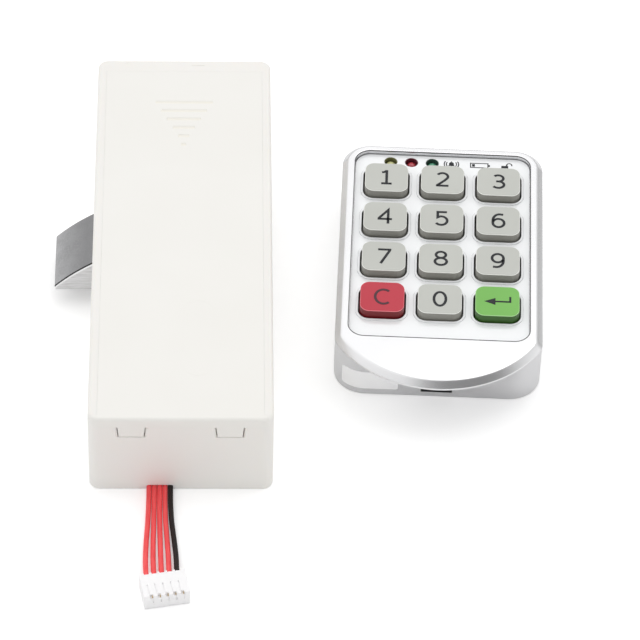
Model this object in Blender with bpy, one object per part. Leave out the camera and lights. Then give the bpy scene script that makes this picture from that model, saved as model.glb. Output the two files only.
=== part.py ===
"""Electronic cabinet lock: a battery latch body with a sprung bolt, its cable, and the keypad unit.

The latch body stands on its mounting face at the origin, with its length along Y and the bolt
towards -X. The keypad unit lies beside it, with its finger lip towards -Y. Units are metres.
"""
import math

import bmesh
import bpy
from mathutils import Matrix, Vector

# Clearances and shared small sizes
GAP = 0.0003
OVERRUN = 0.0010
WELD = 0.00001
ROUND_STEPS = 4
DISC_STEPS = 20
POST_STEPS = 16
SMALL_STEPS = 12
SHARP_ANGLE = math.radians(35.0)

# Latch body shell
LOCK_WIDTH = 0.0480
LOCK_LENGTH = 0.1370
LOCK_HEIGHT = 0.0264
LOCK_CORNER = 0.0028
LOCK_EDGE = 0.0010
SIDE_WALL = 0.0022
END_WALL = 0.0020
RIB_WALL = 0.0015
BACK_PLATE_THICK = 0.0020
LEDGE_SIZE = 0.0032

# Battery cover
COVER_THICK = 0.0016
RUNNER_THICK = 0.0011
RUNNER_WIDTH = 0.0020
RUNNER_GRIP = 0.0011
COVER_LIP = 0.0024
FAR_STRIP = 0.0045
FLANGE_THICK = 0.0017
TONGUE_PLACE = 0.01275
TONGUE_TOP = 0.0073
TONGUE_TIP = 0.0064
TONGUE_DROP = 0.0034
TONGUE_THICK = 0.0010
GROOVE_PITCH = 0.0034
GROOVE_WIDTH = 0.0009
GROOVE_DEPTH = 0.0005
GROOVE_LENGTH = 0.0170
GROOVE_INSET = 0.0114
GROOVE_LENGTH_SHARES = (1.0, 0.79, 0.58, 0.37, 0.19, 0.08)

# Cells and their contacts
CELL_COUNT = 4
CELL_SIDE_SPACE = 0.00035
CELL_LENGTH = 0.0445
CELL_NUB_RADIUS = 0.0019
CELL_NUB_HEIGHT = 0.0010
CELL_SPACE = 0.0003
BAY_FLOOR = 0.0016
CONTACT_THICK = 0.0004
CONTACT_SPRING = 0.0022
CONTACT_WIDTH = 0.0080
CONTACT_HEIGHT = 0.0080
CONTACT_TONGUE = 0.0040
BULKHEAD = 0.0016

# Latch bolt, its spring and its carriage
BOLT_NEAR = -0.00035
BOLT_WIDTH = 0.0197
BOLT_HEIGHT = 0.0104
BOLT_LOW_SHARE = 3 / 7
BOLT_REACH = 0.01075
BOLT_TIP = 0.0008
BOLT_BULGE = 0.00075
BOLT_INSIDE = 0.0062
BOLT_TRAVEL = 0.0105
STEM_RADIUS = 0.0019
STEM_HEAD_RADIUS = 0.0032
STEM_HEAD = 0.0014
SPRING_RADIUS = 0.0031
SPRING_WIRE = 0.0006
SPRING_TURNS = 8
SPRING_ROOM = 0.0140
TUNNEL_SHORT = 0.0047
YOKE_WALL = 0.0015
YOKE_HALF = 0.0065
CARRIAGE_FLOOR = 0.0015
RACK_WIDTH = 0.0050
RACK_SIDE_GAP = 0.0022

# Rack, pinion and motor
TOOTH_MODULE = 0.0008
PINION_TEETH = 12
DEDENDUM_SHARE = 1.25
PRESSURE_ANGLE = math.radians(20.0)
BACKLASH = 0.0003
SHAFT_RADIUS = 0.0015
SHAFT_INSERT = 0.0040
SHAFT_PLAY = 0.0003
PINION_PLACE = 0.0020
GEARBOX_WIDTH = 0.0120
GEARBOX_HEIGHT = 0.0100
GEARBOX_HEADROOM = 0.00235
GEARBOX_LENGTH = 0.0090
MOTOR_RADIUS = 0.0050
MOTOR_LENGTH = 0.0150
MOTOR_BOSS_RADIUS = 0.0020
MOTOR_BOSS_LENGTH = 0.0010
CLAMP_THICK = 0.0015
CLAMP_WIDTH = 0.0060
CLAMP_FOOT = 0.0040

# Boards, switch and screws of the latch body
BOARD_THICK = 0.0016
BOARD_SIDE_SPACE = 0.0018
BOARD_LENGTH = 0.0400
BOARD_BOSS_RADIUS = 0.0025
BOARD_BOSS_HEIGHT = 0.0012
HEADER_WIDTH = 0.0120
HEADER_LENGTH = 0.0060
SWITCH_LENGTH = 0.0128
SWITCH_DEPTH = 0.0058
SWITCH_HEIGHT = 0.0065
SWITCH_BUTTON = 0.0012
SWITCH_BUTTON_SHARE = 1 / 3
POST_HALF = 0.0032
POST_INSET = 0.0034
COVER_PLATE = 0.0016
SCREW_RADIUS = 0.0012
SCREW_LENGTH = 0.0070
SCREW_HEAD_RADIUS = 0.0023
SCREW_HEAD = 0.0012
SCREW_PLAY = 0.0003

# Cable: five wires from the header, out under the near wall, to the connector
WIRE_DIAMETER = 0.00138
WIRE_COUNT = 5
WIRE_SPACING = 0.0014
NOTCH_HEIGHT = 0.0016
NOTCH_SIDE = 0.0005
CABLE_PLACE = -0.0055
CONNECTOR_WIDTH = 0.0120
CONNECTOR_LENGTH = 0.0082
CONNECTOR_HEIGHT = 0.0046
CONNECTOR_PITCH = 0.0020
CONNECTOR_TURN = math.radians(10.5)
MOUTH_WIDTH = 0.0012
MOUTH_HEIGHT = 0.0016
MOUTH_DEPTH = 0.0030
MOUTH_SKIN = 0.0005

# Keypad shell: its place beside the latch body, and its outline
PAD_SPACING = 0.0162
PAD_AHEAD = 0.0335
PAD_TURN = math.radians(-2.93)
PAD_WIDTH = 0.0553
PAD_LENGTH = 0.0804
PAD_HEIGHT = 0.0170
PAD_FAR_CORNER = 0.0078
PAD_NEAR_CORNER = 0.0085
LIP_REACH = 0.0118
LIP_START = 0.0047
LIP_THICK = 0.0004
COVE_START = 0.0058
PAD_CHAMFER = 0.00145
PAD_WALL = 0.0022
PAD_INNER_CORNER = 0.0035
DECK_THICK = 0.0016
LIP_POINTS = 24
COVE_STEPS = 6

# Keypad face
POCKET_MARGIN = 0.00345
POCKET_NEAR = 0.0053
POCKET_CORNER = 0.0032
PLATE_RECESS = 0.00125
PLATE_THICK = 0.0010
KEY_COLUMNS = 3
KEY_ROWS = 4
KEY_SPACE_X = 0.0034
KEY_SPACE_Y = 0.00425
KEY_SIDE_MARGIN = 0.0028
KEY_NEAR_MARGIN = 0.0081
KEY_LED_SPACE = 0.0031
KEY_CORNER = 0.0026
KEY_PROUD = 0.0023
KEY_EDGE = 0.0006
KEY_DRAFT = 0.0002
KEY_SLOT = 0.0006
KEY_FLANGE = 0.0005
KEY_FLANGE_THICK = 0.0014
KEY_STEPS = 3
LED_COUNT = 3
LED_PITCH = 0.00574
LED_SIDE_MARGIN = 0.00982
LED_MARGIN = 0.0029
LED_RADIUS = 0.0015
LED_HOLE_RADIUS = 0.0018
LED_SINK = 0.0009
LED_FLANGE = 0.0004

# Inside the keypad
MAT_THICK = 0.0010
DOME_RADIUS = 0.0036
DOME_TIP_RADIUS = 0.0029
PAD_BOARD_THICK = 0.0016
PAD_BOARD_PLACE_SHARE = 0.3956
PAD_BOARD_CLEAR = 0.0006
PAD_BACK_THICK = 0.0016
SOCKET_WIDTH = 0.0140
SOCKET_DEPTH = 0.0080
SOCKET_WALL = 0.0010
SOCKET_PLACE_SHARE = 0.60
PIN_HALF = 0.00032
PIN_LENGTH = 0.0012
PORT_WIDTH = 0.0078
PORT_STAND = 0.00115
PORT_DEPTH = 0.0060
PORT_SKIN = 0.0004
PORT_SET_BACK = 0.0006
PORT_TONGUE_WIDTH = 0.0052
PORT_TONGUE_THICK = 0.0006
BUZZER_RADIUS = 0.0045
BUZZER_HEIGHT = 0.0022
BUZZER_PORT = 0.0008
PAD_POST_RADIUS = 0.0030
PAD_POST_INSET = 0.00495
PAD_SCREW_HEAD_RADIUS = 0.0019
INSERT_RADIUS = 0.0020
INSERT_BORE = 0.0014
INSERT_LENGTH = 0.0060
INSERT_POSTS = (1, 2)

# The cable's route in the lock's frame: x of the middle wire, y from the near end, z, wire spacing,
# and how far the row of wires has turned towards the connector's own angle.
CABLE_ROUTE = (
    (-0.00550, 0.0120, 0.00520, 0.00200, 0.00),
    (-0.00550, 0.0104, 0.00512, 0.00180, 0.00),
    (-0.00550, 0.0080, 0.00420, 0.00155, 0.00),
    (-0.00550, 0.0058, 0.00235, 0.00142, 0.00),
    (-0.00550, 0.0034, 0.00105, 0.00140, 0.00),
    (-0.00550, 0.0010, 0.00081, 0.00140, 0.00),
    (-0.00550, -0.0012, 0.00077, 0.00140, 0.00),
    (-0.00548, -0.0060, 0.00075, 0.00143, 0.05),
    (-0.00538, -0.0122, 0.00075, 0.00155, 0.20),
    (-0.00520, -0.0186, 0.00080, 0.00173, 0.45),
    (-0.00498, -0.0249, 0.00124, 0.00189, 0.75),
    (-0.00480, -0.0296, 0.00195, 0.00198, 1.00),
    (-0.00465, -0.0320, 0.00230, 0.00200, 1.00),
)
ROUTE_STEP_DIAMETERS = 2.0

# Worked-out places of the latch body
HALF_WIDTH = LOCK_WIDTH / 2
HALF_LENGTH = LOCK_LENGTH / 2
INNER_X = HALF_WIDTH - SIDE_WALL
INNER_Y = HALF_LENGTH - END_WALL
COVER_LOW = LOCK_HEIGHT - COVER_THICK
RUNNER_LOW = COVER_LOW - RUNNER_THICK
SEAM_LOW = RUNNER_LOW - GAP
COVER_HALF = HALF_WIDTH - COVER_LIP - GAP
COVER_FAR = HALF_LENGTH - FAR_STRIP - GAP
CELL_PITCH = (2 * (INNER_X - CELL_SIDE_SPACE) + CELL_SPACE) / CELL_COUNT
CELL_RADIUS = (CELL_PITCH - CELL_SPACE) / 2
BAY_LOW = SEAM_LOW - GAP - 2 * CELL_RADIUS - GAP
DECK_LOW = BAY_LOW - BAY_FLOOR
CELL_Z = BAY_LOW + GAP + CELL_RADIUS
BAY_NEAR = -INNER_Y
CELL_NEAR = BAY_NEAR + GAP + CONTACT_THICK + CONTACT_SPRING + GAP
CELL_FAR = CELL_NEAR + CELL_LENGTH
BAY_FAR = CELL_FAR + GAP + CONTACT_SPRING + CONTACT_THICK + GAP
MECHANISM_NEAR = BAY_FAR + BULKHEAD
COVER_PLATE_HIGH = SEAM_LOW - GAP
COVER_PLATE_LOW = COVER_PLATE_HIGH - COVER_PLATE
LEDGE_HIGH = COVER_PLATE_LOW - GAP
INSIDE_LOW = BACK_PLATE_THICK + GAP

BOLT_FAR = BOLT_NEAR + BOLT_WIDTH
BOLT_Y = (BOLT_NEAR + BOLT_FAR) / 2
BOLT_ROOM = COVER_PLATE_LOW - GAP - RIB_WALL - GAP - BACK_PLATE_THICK - BOLT_HEIGHT
BOLT_BOTTOM = BACK_PLATE_THICK + BOLT_ROOM * BOLT_LOW_SHARE
BOLT_TOP = BOLT_BOTTOM + BOLT_HEIGHT
BOLT_TIP_X = -HALF_WIDTH - BOLT_REACH
BOLT_SHOULDER_X = -HALF_WIDTH + BOLT_INSIDE
STEM_Z = (BOLT_BOTTOM + BOLT_TOP) / 2
YOKE_X = BOLT_SHOULDER_X + SPRING_ROOM
YOKE_FAR_X = YOKE_X + YOKE_WALL
TUNNEL_END_X = YOKE_X - TUNNEL_SHORT
STEM_END_X = YOKE_FAR_X + GAP + STEM_HEAD
CARRIAGE_LOW = INSIDE_LOW
CARRIAGE_TOP_FLOOR = CARRIAGE_LOW + CARRIAGE_FLOOR
CARRIAGE_END_X = INNER_X - GAP - BOLT_TRAVEL
RACK_NEAR = BOLT_FAR + RACK_SIDE_GAP
RACK_FAR = RACK_NEAR + RACK_WIDTH
DEDENDUM = TOOTH_MODULE * DEDENDUM_SHARE
PITCH_RADIUS = TOOTH_MODULE * PINION_TEETH / 2
PINION_Z = COVER_PLATE_LOW - GEARBOX_HEADROOM - GEARBOX_HEIGHT / 2
RACK_PITCH_Z = PINION_Z - PITCH_RADIUS - BACKLASH / 2
FAR_RIB = RACK_FAR + GAP
FAR_RIB_END = FAR_RIB + RIB_WALL
GEARBOX_NEAR = FAR_RIB_END + GAP
MOTOR_NEAR = GEARBOX_NEAR + GEARBOX_LENGTH
MOTOR_FAR = MOTOR_NEAR + MOTOR_LENGTH
CRADLE_HIGH = PINION_Z - GEARBOX_HEIGHT / 2 - GAP
POST_X = INNER_X - POST_INSET
POST_Y = INNER_Y - POST_INSET
BOARD_HIGH = DECK_LOW - BOARD_BOSS_HEIGHT - GAP
BOARD_LOW = BOARD_HIGH - BOARD_THICK
BOARD_NEAR = -POST_Y + POST_HALF + GAP
BOARD_FAR = BOARD_NEAR + BOARD_LENGTH
BOARD_HALF_WIDTH = INNER_X - BOARD_SIDE_SPACE
NOTCH_HALF = (WIRE_COUNT * WIRE_SPACING) / 2 + NOTCH_SIDE

# Worked-out places of the keypad, in its own frame with Y = 0 at the base's near edge
PAD_HALF = PAD_WIDTH / 2
PAD_X = HALF_WIDTH + PAD_SPACING + PAD_HALF
PAD_Y = -HALF_LENGTH + PAD_AHEAD
LIP_RISE = LIP_REACH + LIP_START
LIP_RADIUS = (PAD_HALF ** 2 + LIP_RISE ** 2) / (2 * LIP_RISE)
LIP_CENTRE_Y = LIP_RADIUS - LIP_REACH
PLATE_TOP = PAD_HEIGHT - PLATE_RECESS
PLATE_LOW = PLATE_TOP - PLATE_THICK
DECK_TOP = PLATE_LOW - GAP
DECK_LOW_Z = DECK_TOP - DECK_THICK
POCKET_HALF = PAD_HALF - POCKET_MARGIN
POCKET_FAR = PAD_LENGTH - POCKET_MARGIN
CAVITY_HALF = PAD_HALF - PAD_WALL
CAVITY_FAR = PAD_LENGTH - PAD_WALL
LED_Y = POCKET_FAR - LED_MARGIN
KEYS_NEAR = POCKET_NEAR + KEY_NEAR_MARGIN
KEY_PITCH_X = (2 * (POCKET_HALF - KEY_SIDE_MARGIN) + KEY_SPACE_X) / KEY_COLUMNS
KEY_PITCH_Y = (LED_Y - KEY_LED_SPACE - KEYS_NEAR + KEY_SPACE_Y) / KEY_ROWS
KEY_WIDTH = KEY_PITCH_X - KEY_SPACE_X
KEY_DEPTH = KEY_PITCH_Y - KEY_SPACE_Y
KEY_FIRST_Y = KEYS_NEAR + KEY_DEPTH / 2
KEY_TOP = PLATE_TOP + KEY_PROUD
KEY_FLANGE_TOP = DECK_LOW_Z - GAP
KEY_LOW = KEY_FLANGE_TOP - KEY_FLANGE_THICK
PAD_BOARD_LOW = PAD_BACK_THICK + (DECK_LOW_Z - PAD_BACK_THICK) * PAD_BOARD_PLACE_SHARE
PAD_BOARD_TOP = PAD_BOARD_LOW + PAD_BOARD_THICK
MAT_LOW = PAD_BOARD_TOP + GAP
MAT_TOP = MAT_LOW + MAT_THICK
DOME_HEIGHT = KEY_LOW - GAP - MAT_TOP
PORT_LOW = PAD_BACK_THICK + PORT_STAND
PORT_HEIGHT = PAD_BOARD_LOW - GAP - PORT_LOW
SOCKET_Y = PAD_LENGTH * SOCKET_PLACE_SHARE
PAD_POST_CLEAR = PAD_POST_RADIUS + GAP
KEY_REACH = KEY_SLOT + KEY_FLANGE
PAD_POST_PLACE = CAVITY_HALF - PAD_POST_INSET
PAD_POST_NEAR = KEYS_NEAR - KEY_REACH - PAD_POST_CLEAR - GAP
PAD_POST_FAR = LED_Y - KEY_LED_SPACE + KEY_REACH + PAD_POST_CLEAR + GAP


def remove_everything():
    for item in list(bpy.data.objects):
        bpy.data.objects.remove(item, do_unlink=True)


def new_collection(name):
    collection = bpy.data.collections.new(name)
    bpy.context.scene.collection.children.link(collection)
    return collection


remove_everything()
PARTS = new_collection("electronic_cabinet_lock")
CUTTERS = new_collection("cutters")


def new_empty(name, location=(0, 0, 0), turn=0.0):
    empty = bpy.data.objects.new(name, None)
    empty.location = location
    empty.rotation_euler = (0, 0, turn)
    PARTS.objects.link(empty)
    return empty


LOCK_ORIGIN = new_empty("lock_origin")
PAD_ORIGIN = new_empty("keypad_origin", (PAD_X, PAD_Y, 0), PAD_TURN)


def paint(name, colour, roughness, metallic=0.0):
    material = bpy.data.materials.new(name)
    material.use_nodes = True
    shader = material.node_tree.nodes["Principled BSDF"]
    shader.inputs["Base Color"].default_value = (*colour, 1.0)
    shader.inputs["Roughness"].default_value = roughness
    shader.inputs["Metallic"].default_value = metallic
    return material


def place(item, parent, location=(0, 0, 0)):
    item.parent = parent
    item.location = location
    return item


def add_part(name, shape, look, parent, location=(0, 0, 0)):
    """Makes one named part from a bmesh, with its own material."""
    mesh = bpy.data.meshes.new(name)
    shape.to_mesh(mesh)
    shape.free()
    item = bpy.data.objects.new(name, mesh)
    mesh.materials.append(paint(name, *look))
    mesh.set_sharp_from_angle(angle=SHARP_ANGLE)
    PARTS.objects.link(item)
    return place(item, parent, location)


def add_tool(target, shape, operation, solver="EXACT"):
    """Hides a shape as an operand and applies it to the target with a Boolean modifier."""
    name = f"{target.name}_{operation.lower()}_{len(target.modifiers) + 1}"
    mesh = bpy.data.meshes.new(name)
    shape.to_mesh(mesh)
    shape.free()
    item = bpy.data.objects.new(name, mesh)
    item.hide_render = True
    item.display_type = "WIRE"
    CUTTERS.objects.link(item)
    place(item, target.parent, target.location)
    modifier = target.modifiers.new(name, "BOOLEAN")
    modifier.operation = operation
    modifier.solver = solver
    modifier.object = item
    return item


def cut(target, *shapes):
    for shape in shapes:
        add_tool(target, shape, "DIFFERENCE")


def join(target, *shapes):
    for shape in shapes:
        add_tool(target, shape, "UNION")


def keep_inside(target, shape):
    add_tool(target, shape, "INTERSECT")


def block(low, high, corner=0.0, edge=0.0):
    """A box between two corners, its upright edges rounded by corner and its top edge by edge."""
    low, high = Vector(low), Vector(high)
    size, middle = high - low, (high + low) / 2
    shape = bmesh.new()
    bmesh.ops.create_cube(shape, size=1.0)
    bmesh.ops.scale(shape, vec=size, verts=shape.verts)
    bmesh.ops.translate(shape, vec=middle, verts=shape.verts)
    if corner:
        upright = [e for e in shape.edges if abs(e.verts[0].co.z - e.verts[1].co.z) > size.z / 2]
        bmesh.ops.bevel(shape, geom=upright, offset=corner, segments=ROUND_STEPS, profile=0.5, affect="EDGES")
    if edge:
        top = [e for e in shape.edges if all(v.co.z > high.z - WELD for v in e.verts)]
        bmesh.ops.bevel(shape, geom=top, offset=edge, segments=ROUND_STEPS - 1, profile=0.5, affect="EDGES")
    return shape


def cylinder(radius, low, high, axis="Z", centre=(0, 0), tip_radius=None, steps=DISC_STEPS):
    """A cylinder or cone along an axis, with its centre given in the other two directions."""
    shape = bmesh.new()
    end_radius = radius if tip_radius is None else tip_radius
    bmesh.ops.create_cone(shape, cap_ends=True, segments=steps, radius1=radius, radius2=end_radius,
                          depth=high - low)
    bmesh.ops.translate(shape, vec=(0, 0, (low + high) / 2), verts=shape.verts)
    turn_to_axis(shape, axis)
    first, second = centre
    shift = {"X": (0, first, second), "Y": (first, 0, second), "Z": (first, second, 0)}[axis]
    bmesh.ops.translate(shape, vec=shift, verts=shape.verts)
    return shape


def together(shapes):
    """Puts separate shapes into one, so that a single Boolean applies them all."""
    whole = bmesh.new()
    for shape in shapes:
        mesh = bpy.data.meshes.new("piece")
        shape.to_mesh(mesh)
        shape.free()
        whole.from_mesh(mesh)
        bpy.data.meshes.remove(mesh)
    return whole


def turn_to_axis(shape, axis):
    """Turns a shape built along Z so that it runs along the axis, its first direction then its second."""
    if axis == "X":
        turned = Matrix(((0, 0, 1), (1, 0, 0), (0, 1, 0))).to_4x4()
        bmesh.ops.transform(shape, matrix=turned, verts=shape.verts)
    if axis == "Y":
        swapped = Matrix(((1, 0, 0), (0, 0, 1), (0, 1, 0))).to_4x4()
        bmesh.ops.transform(shape, matrix=swapped, verts=shape.verts)
        bmesh.ops.reverse_faces(shape, faces=shape.faces)


def prism(outlines, low, high, axis="Z"):
    """A flat outline with its holes, filled and extruded between two heights along an axis."""
    curve = bpy.data.curves.new("outline", "CURVE")
    curve.dimensions = "2D"
    curve.fill_mode = "BOTH"
    curve.extrude = (high - low) / 2
    for outline in outlines:
        spline = curve.splines.new("POLY")
        spline.points.add(len(outline) - 1)
        for point, (x, y) in zip(spline.points, outline):
            point.co = (x, y, 0, 1)
        spline.use_cyclic_u = True
    holder = bpy.data.objects.new("outline", curve)
    PARTS.objects.link(holder)
    evaluated = holder.evaluated_get(bpy.context.evaluated_depsgraph_get())
    mesh = bpy.data.meshes.new_from_object(evaluated)
    shape = bmesh.new()
    shape.from_mesh(mesh)
    bpy.data.objects.remove(holder)
    bpy.data.meshes.remove(mesh)
    bmesh.ops.remove_doubles(shape, verts=shape.verts, dist=WELD)
    bmesh.ops.translate(shape, vec=(0, 0, (low + high) / 2), verts=shape.verts)
    turn_to_axis(shape, axis)
    bmesh.ops.recalc_face_normals(shape, faces=shape.faces)
    return shape


def loft(rings):
    """Joins rings of equally many points into one closed skin with flat ends, by hand-made faces."""
    shape = bmesh.new()
    rows = [[shape.verts.new(point) for point in ring] for ring in rings]
    count = len(rows[0])
    for lower, upper in zip(rows, rows[1:]):
        for i in range(count):
            j = (i + 1) % count
            shape.faces.new((lower[i], lower[j], upper[j], upper[i]))
    shape.faces.new(list(reversed(rows[0])))
    shape.faces.new(rows[-1])
    bmesh.ops.recalc_face_normals(shape, faces=shape.faces)
    return shape


def arc_points(centre, radius, start, end, steps):
    """Points on an arc, angles in quarter turns."""
    points = []
    for i in range(steps + 1):
        angle = math.pi / 2 * (start + (end - start) * i / steps)
        points.append((centre[0] + radius * math.cos(angle), centre[1] + radius * math.sin(angle)))
    return points


def rounded_rectangle(low_x, high_x, low_y, high_y, radius, steps=ROUND_STEPS):
    corners = (((high_x - radius, high_y - radius), 0), ((low_x + radius, high_y - radius), 1),
               ((low_x + radius, low_y + radius), 2), ((high_x - radius, low_y + radius), 3))
    points = []
    for centre, quarter in corners:
        points += arc_points(centre, radius, quarter, quarter + 1, steps)
    return points


def circle(centre, radius, steps=DISC_STEPS):
    return arc_points(centre, radius, 0, 4, steps)[:-1]


def at_height(outline, z):
    return [(x, y, z) for x, y in outline]


def screw_shape(head_radius, head, radius, length):
    """A turned countersunk screw: its head's face at z = 0 and its shank running up."""
    profile = ((head_radius, 0), (radius, head), (radius, length))
    return loft([at_height(circle((0, 0), r, SMALL_STEPS), z) for r, z in profile])


WARM_WHITE = (0.86, 0.855, 0.83)
HOUSING_LOOK = (WARM_WHITE, 0.42)
STEEL_LOOK = ((0.62, 0.62, 0.62), 0.35, 1.0)
BRASS_LOOK = ((0.80, 0.62, 0.30), 0.35, 1.0)
BLACK_LOOK = ((0.02, 0.02, 0.02), 0.5)
BOARD_LOOK = ((0.02, 0.16, 0.06), 0.5)
CELL_LOOK = ((0.30, 0.30, 0.32), 0.35, 0.6)
CARRIAGE_LOOK = ((0.85, 0.85, 0.82), 0.45)
NYLON_LOOK = ((0.86, 0.86, 0.84), 0.35)
RED_WIRE_LOOK = ((0.75, 0.02, 0.03), 0.4)
BLACK_WIRE_LOOK = ((0.01, 0.01, 0.01), 0.4)
ZINC_LOOK = ((0.70, 0.70, 0.70), 0.30, 0.9)
FACE_LOOK = ((0.88, 0.88, 0.88), 0.15, 0.3)
SILICONE_LOOK = ((0.75, 0.75, 0.72), 0.6)
LAMP_COLOURS = {"yellow": (0.55, 0.45, 0.05), "red": (0.45, 0.02, 0.02), "green": (0.02, 0.30, 0.05)}
LAMP_ROUGHNESS = 0.2


def lock_block():
    return block((-HALF_WIDTH, -HALF_LENGTH, 0), (HALF_WIDTH, HALF_LENGTH, LOCK_HEIGHT),
                 LOCK_CORNER, LOCK_EDGE)


def tongue_outline(place_x, grow):
    """One snap tongue of the cover, seen from the near end, grown all round by grow."""
    top, tip = TONGUE_TOP / 2 + grow, TONGUE_TIP / 2 + grow
    high, low = RUNNER_LOW + TONGUE_THICK, SEAM_LOW - TONGUE_DROP - grow
    return [(place_x - tip, low), (place_x + tip, low), (place_x + top, high), (place_x - top, high)]


def wire_notch(high, far):
    return block((CABLE_PLACE - NOTCH_HALF, -HALF_LENGTH - OVERRUN, -OVERRUN),
                 (CABLE_PLACE + NOTCH_HALF, far, high))


def post_places():
    return [(x, y) for x in (-POST_X, POST_X) for y in (-POST_Y, POST_Y)]


def build_housing():
    housing = add_part("lock_housing", lock_block(), HOUSING_LOOK, LOCK_ORIGIN)
    cut(housing,
        block((-INNER_X, -INNER_Y, -OVERRUN), (INNER_X, BAY_FAR + BULKHEAD, DECK_LOW)),
        block((-INNER_X, MECHANISM_NEAR, -OVERRUN), (INNER_X, INNER_Y, LOCK_HEIGHT - END_WALL)),
        block((-INNER_X, BAY_NEAR, BAY_LOW), (INNER_X, BAY_FAR, SEAM_LOW + GAP)),
        block((-COVER_HALF - GAP - RUNNER_GRIP, -HALF_LENGTH - OVERRUN, SEAM_LOW),
              (COVER_HALF + GAP + RUNNER_GRIP, COVER_FAR + GAP, COVER_LOW + GAP)),
        block((-COVER_HALF - GAP, -HALF_LENGTH - OVERRUN, SEAM_LOW + GAP),
              (COVER_HALF + GAP, COVER_FAR + GAP, LOCK_HEIGHT + OVERRUN)),
        block((-HALF_WIDTH - OVERRUN, -HALF_LENGTH - OVERRUN, SEAM_LOW),
              (HALF_WIDTH + OVERRUN, -HALF_LENGTH + FLANGE_THICK + GAP, LOCK_HEIGHT + OVERRUN)),
        block((-HALF_WIDTH - OVERRUN, BOLT_NEAR - GAP, BOLT_BOTTOM - GAP),
              (-INNER_X + OVERRUN, BOLT_FAR + GAP, BOLT_TOP + GAP)),
        wire_notch(NOTCH_HEIGHT, -INNER_Y + OVERRUN))
    for side in (-1, 1):
        cut(housing, prism([tongue_outline(side * TONGUE_PLACE, GAP)], -HALF_LENGTH - OVERRUN,
                           -HALF_LENGTH + TONGUE_THICK + GAP, "Y"))
    add_housing_ribs(housing)
    for x, y in post_places():
        near_end = y < 0
        top = DECK_LOW + OVERRUN if near_end else LEDGE_HIGH
        join(housing, block((x - POST_HALF, y - POST_HALF, INSIDE_LOW),
                            (x + POST_HALF, y + POST_HALF, top)))
        join(housing, post_web(x, y, top))
        cut(housing, cylinder(SCREW_RADIUS + SCREW_PLAY, INSIDE_LOW - OVERRUN,
                              INSIDE_LOW + SCREW_LENGTH + OVERRUN, "Z", (x, y), steps=SMALL_STEPS))
    return housing


def post_web(x, y, top):
    """Ties a screw post to the side wall and the end wall that it stands beside."""
    side, end = math.copysign(1, x), math.copysign(1, y)
    low_x, high_x = sorted((x, side * (INNER_X + OVERRUN / 2)))
    low_y, high_y = sorted((y, end * (INNER_Y + OVERRUN / 2)))
    return block((low_x, low_y, INSIDE_LOW + GAP), (high_x, high_y, top - GAP))


def add_housing_ribs(housing):
    """The tunnel that guides the bolt, the ribs beside the carriage, and the motor's cradle."""
    reach = INNER_X + OVERRUN / 2
    tunnel_top = BOLT_TOP + GAP
    switch_low, switch_high = switch_button_span()
    near_rib = (BOLT_NEAR - GAP - RIB_WALL, BOLT_NEAR - GAP)
    far_guide = (BOLT_FAR + GAP, BOLT_FAR + GAP + RIB_WALL)
    ledge_span = (MECHANISM_NEAR - GAP, MECHANISM_NEAR + LEDGE_SIZE)
    ledge_low = LEDGE_HIGH - LEDGE_SIZE
    join(housing,
         block((-reach, near_rib[0], INSIDE_LOW), (reach, near_rib[1], tunnel_top + RIB_WALL / 2)),
         block((-reach, far_guide[0], INSIDE_LOW), (TUNNEL_END_X, far_guide[1], tunnel_top + RIB_WALL / 2)),
         block((-reach, near_rib[0] + GAP, tunnel_top),
               (TUNNEL_END_X - GAP, far_guide[1] - GAP, tunnel_top + RIB_WALL)),
         block((-reach, ledge_span[0], ledge_low), (LEDGE_SIZE - INNER_X, ledge_span[1], LEDGE_HIGH)),
         block((INNER_X - LEDGE_SIZE, ledge_span[0], ledge_low), (reach, ledge_span[1], LEDGE_HIGH)),
         block((-reach, FAR_RIB, INSIDE_LOW), (reach, FAR_RIB_END, RACK_PITCH_Z)),
         block((-reach, MOTOR_NEAR - CLAMP_WIDTH, INSIDE_LOW), (reach, MOTOR_NEAR, CRADLE_HIGH)),
         block((-reach, MOTOR_FAR - CLAMP_FOOT, INSIDE_LOW),
               (reach, MOTOR_FAR - CLAMP_FOOT + RIB_WALL, PINION_Z - MOTOR_RADIUS - GAP)))
    cut(housing, block((switch_low - GAP, near_rib[0] - OVERRUN, INSIDE_LOW + GAP),
                       (switch_high + GAP, near_rib[1] + OVERRUN, INSIDE_LOW + SWITCH_HEIGHT / 2)))
    for x in (-BOARD_HALF_WIDTH, BOARD_HALF_WIDTH):
        for y in (BOARD_NEAR, BOARD_FAR):
            side, end = math.copysign(1, x), 1 if y == BOARD_NEAR else -1
            centre = (x - side * BOARD_BOSS_RADIUS, y + end * BOARD_BOSS_RADIUS)
            join(housing, cylinder(BOARD_BOSS_RADIUS, BOARD_HIGH + GAP, DECK_LOW + OVERRUN, "Z", centre,
                                   steps=SMALL_STEPS))


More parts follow.
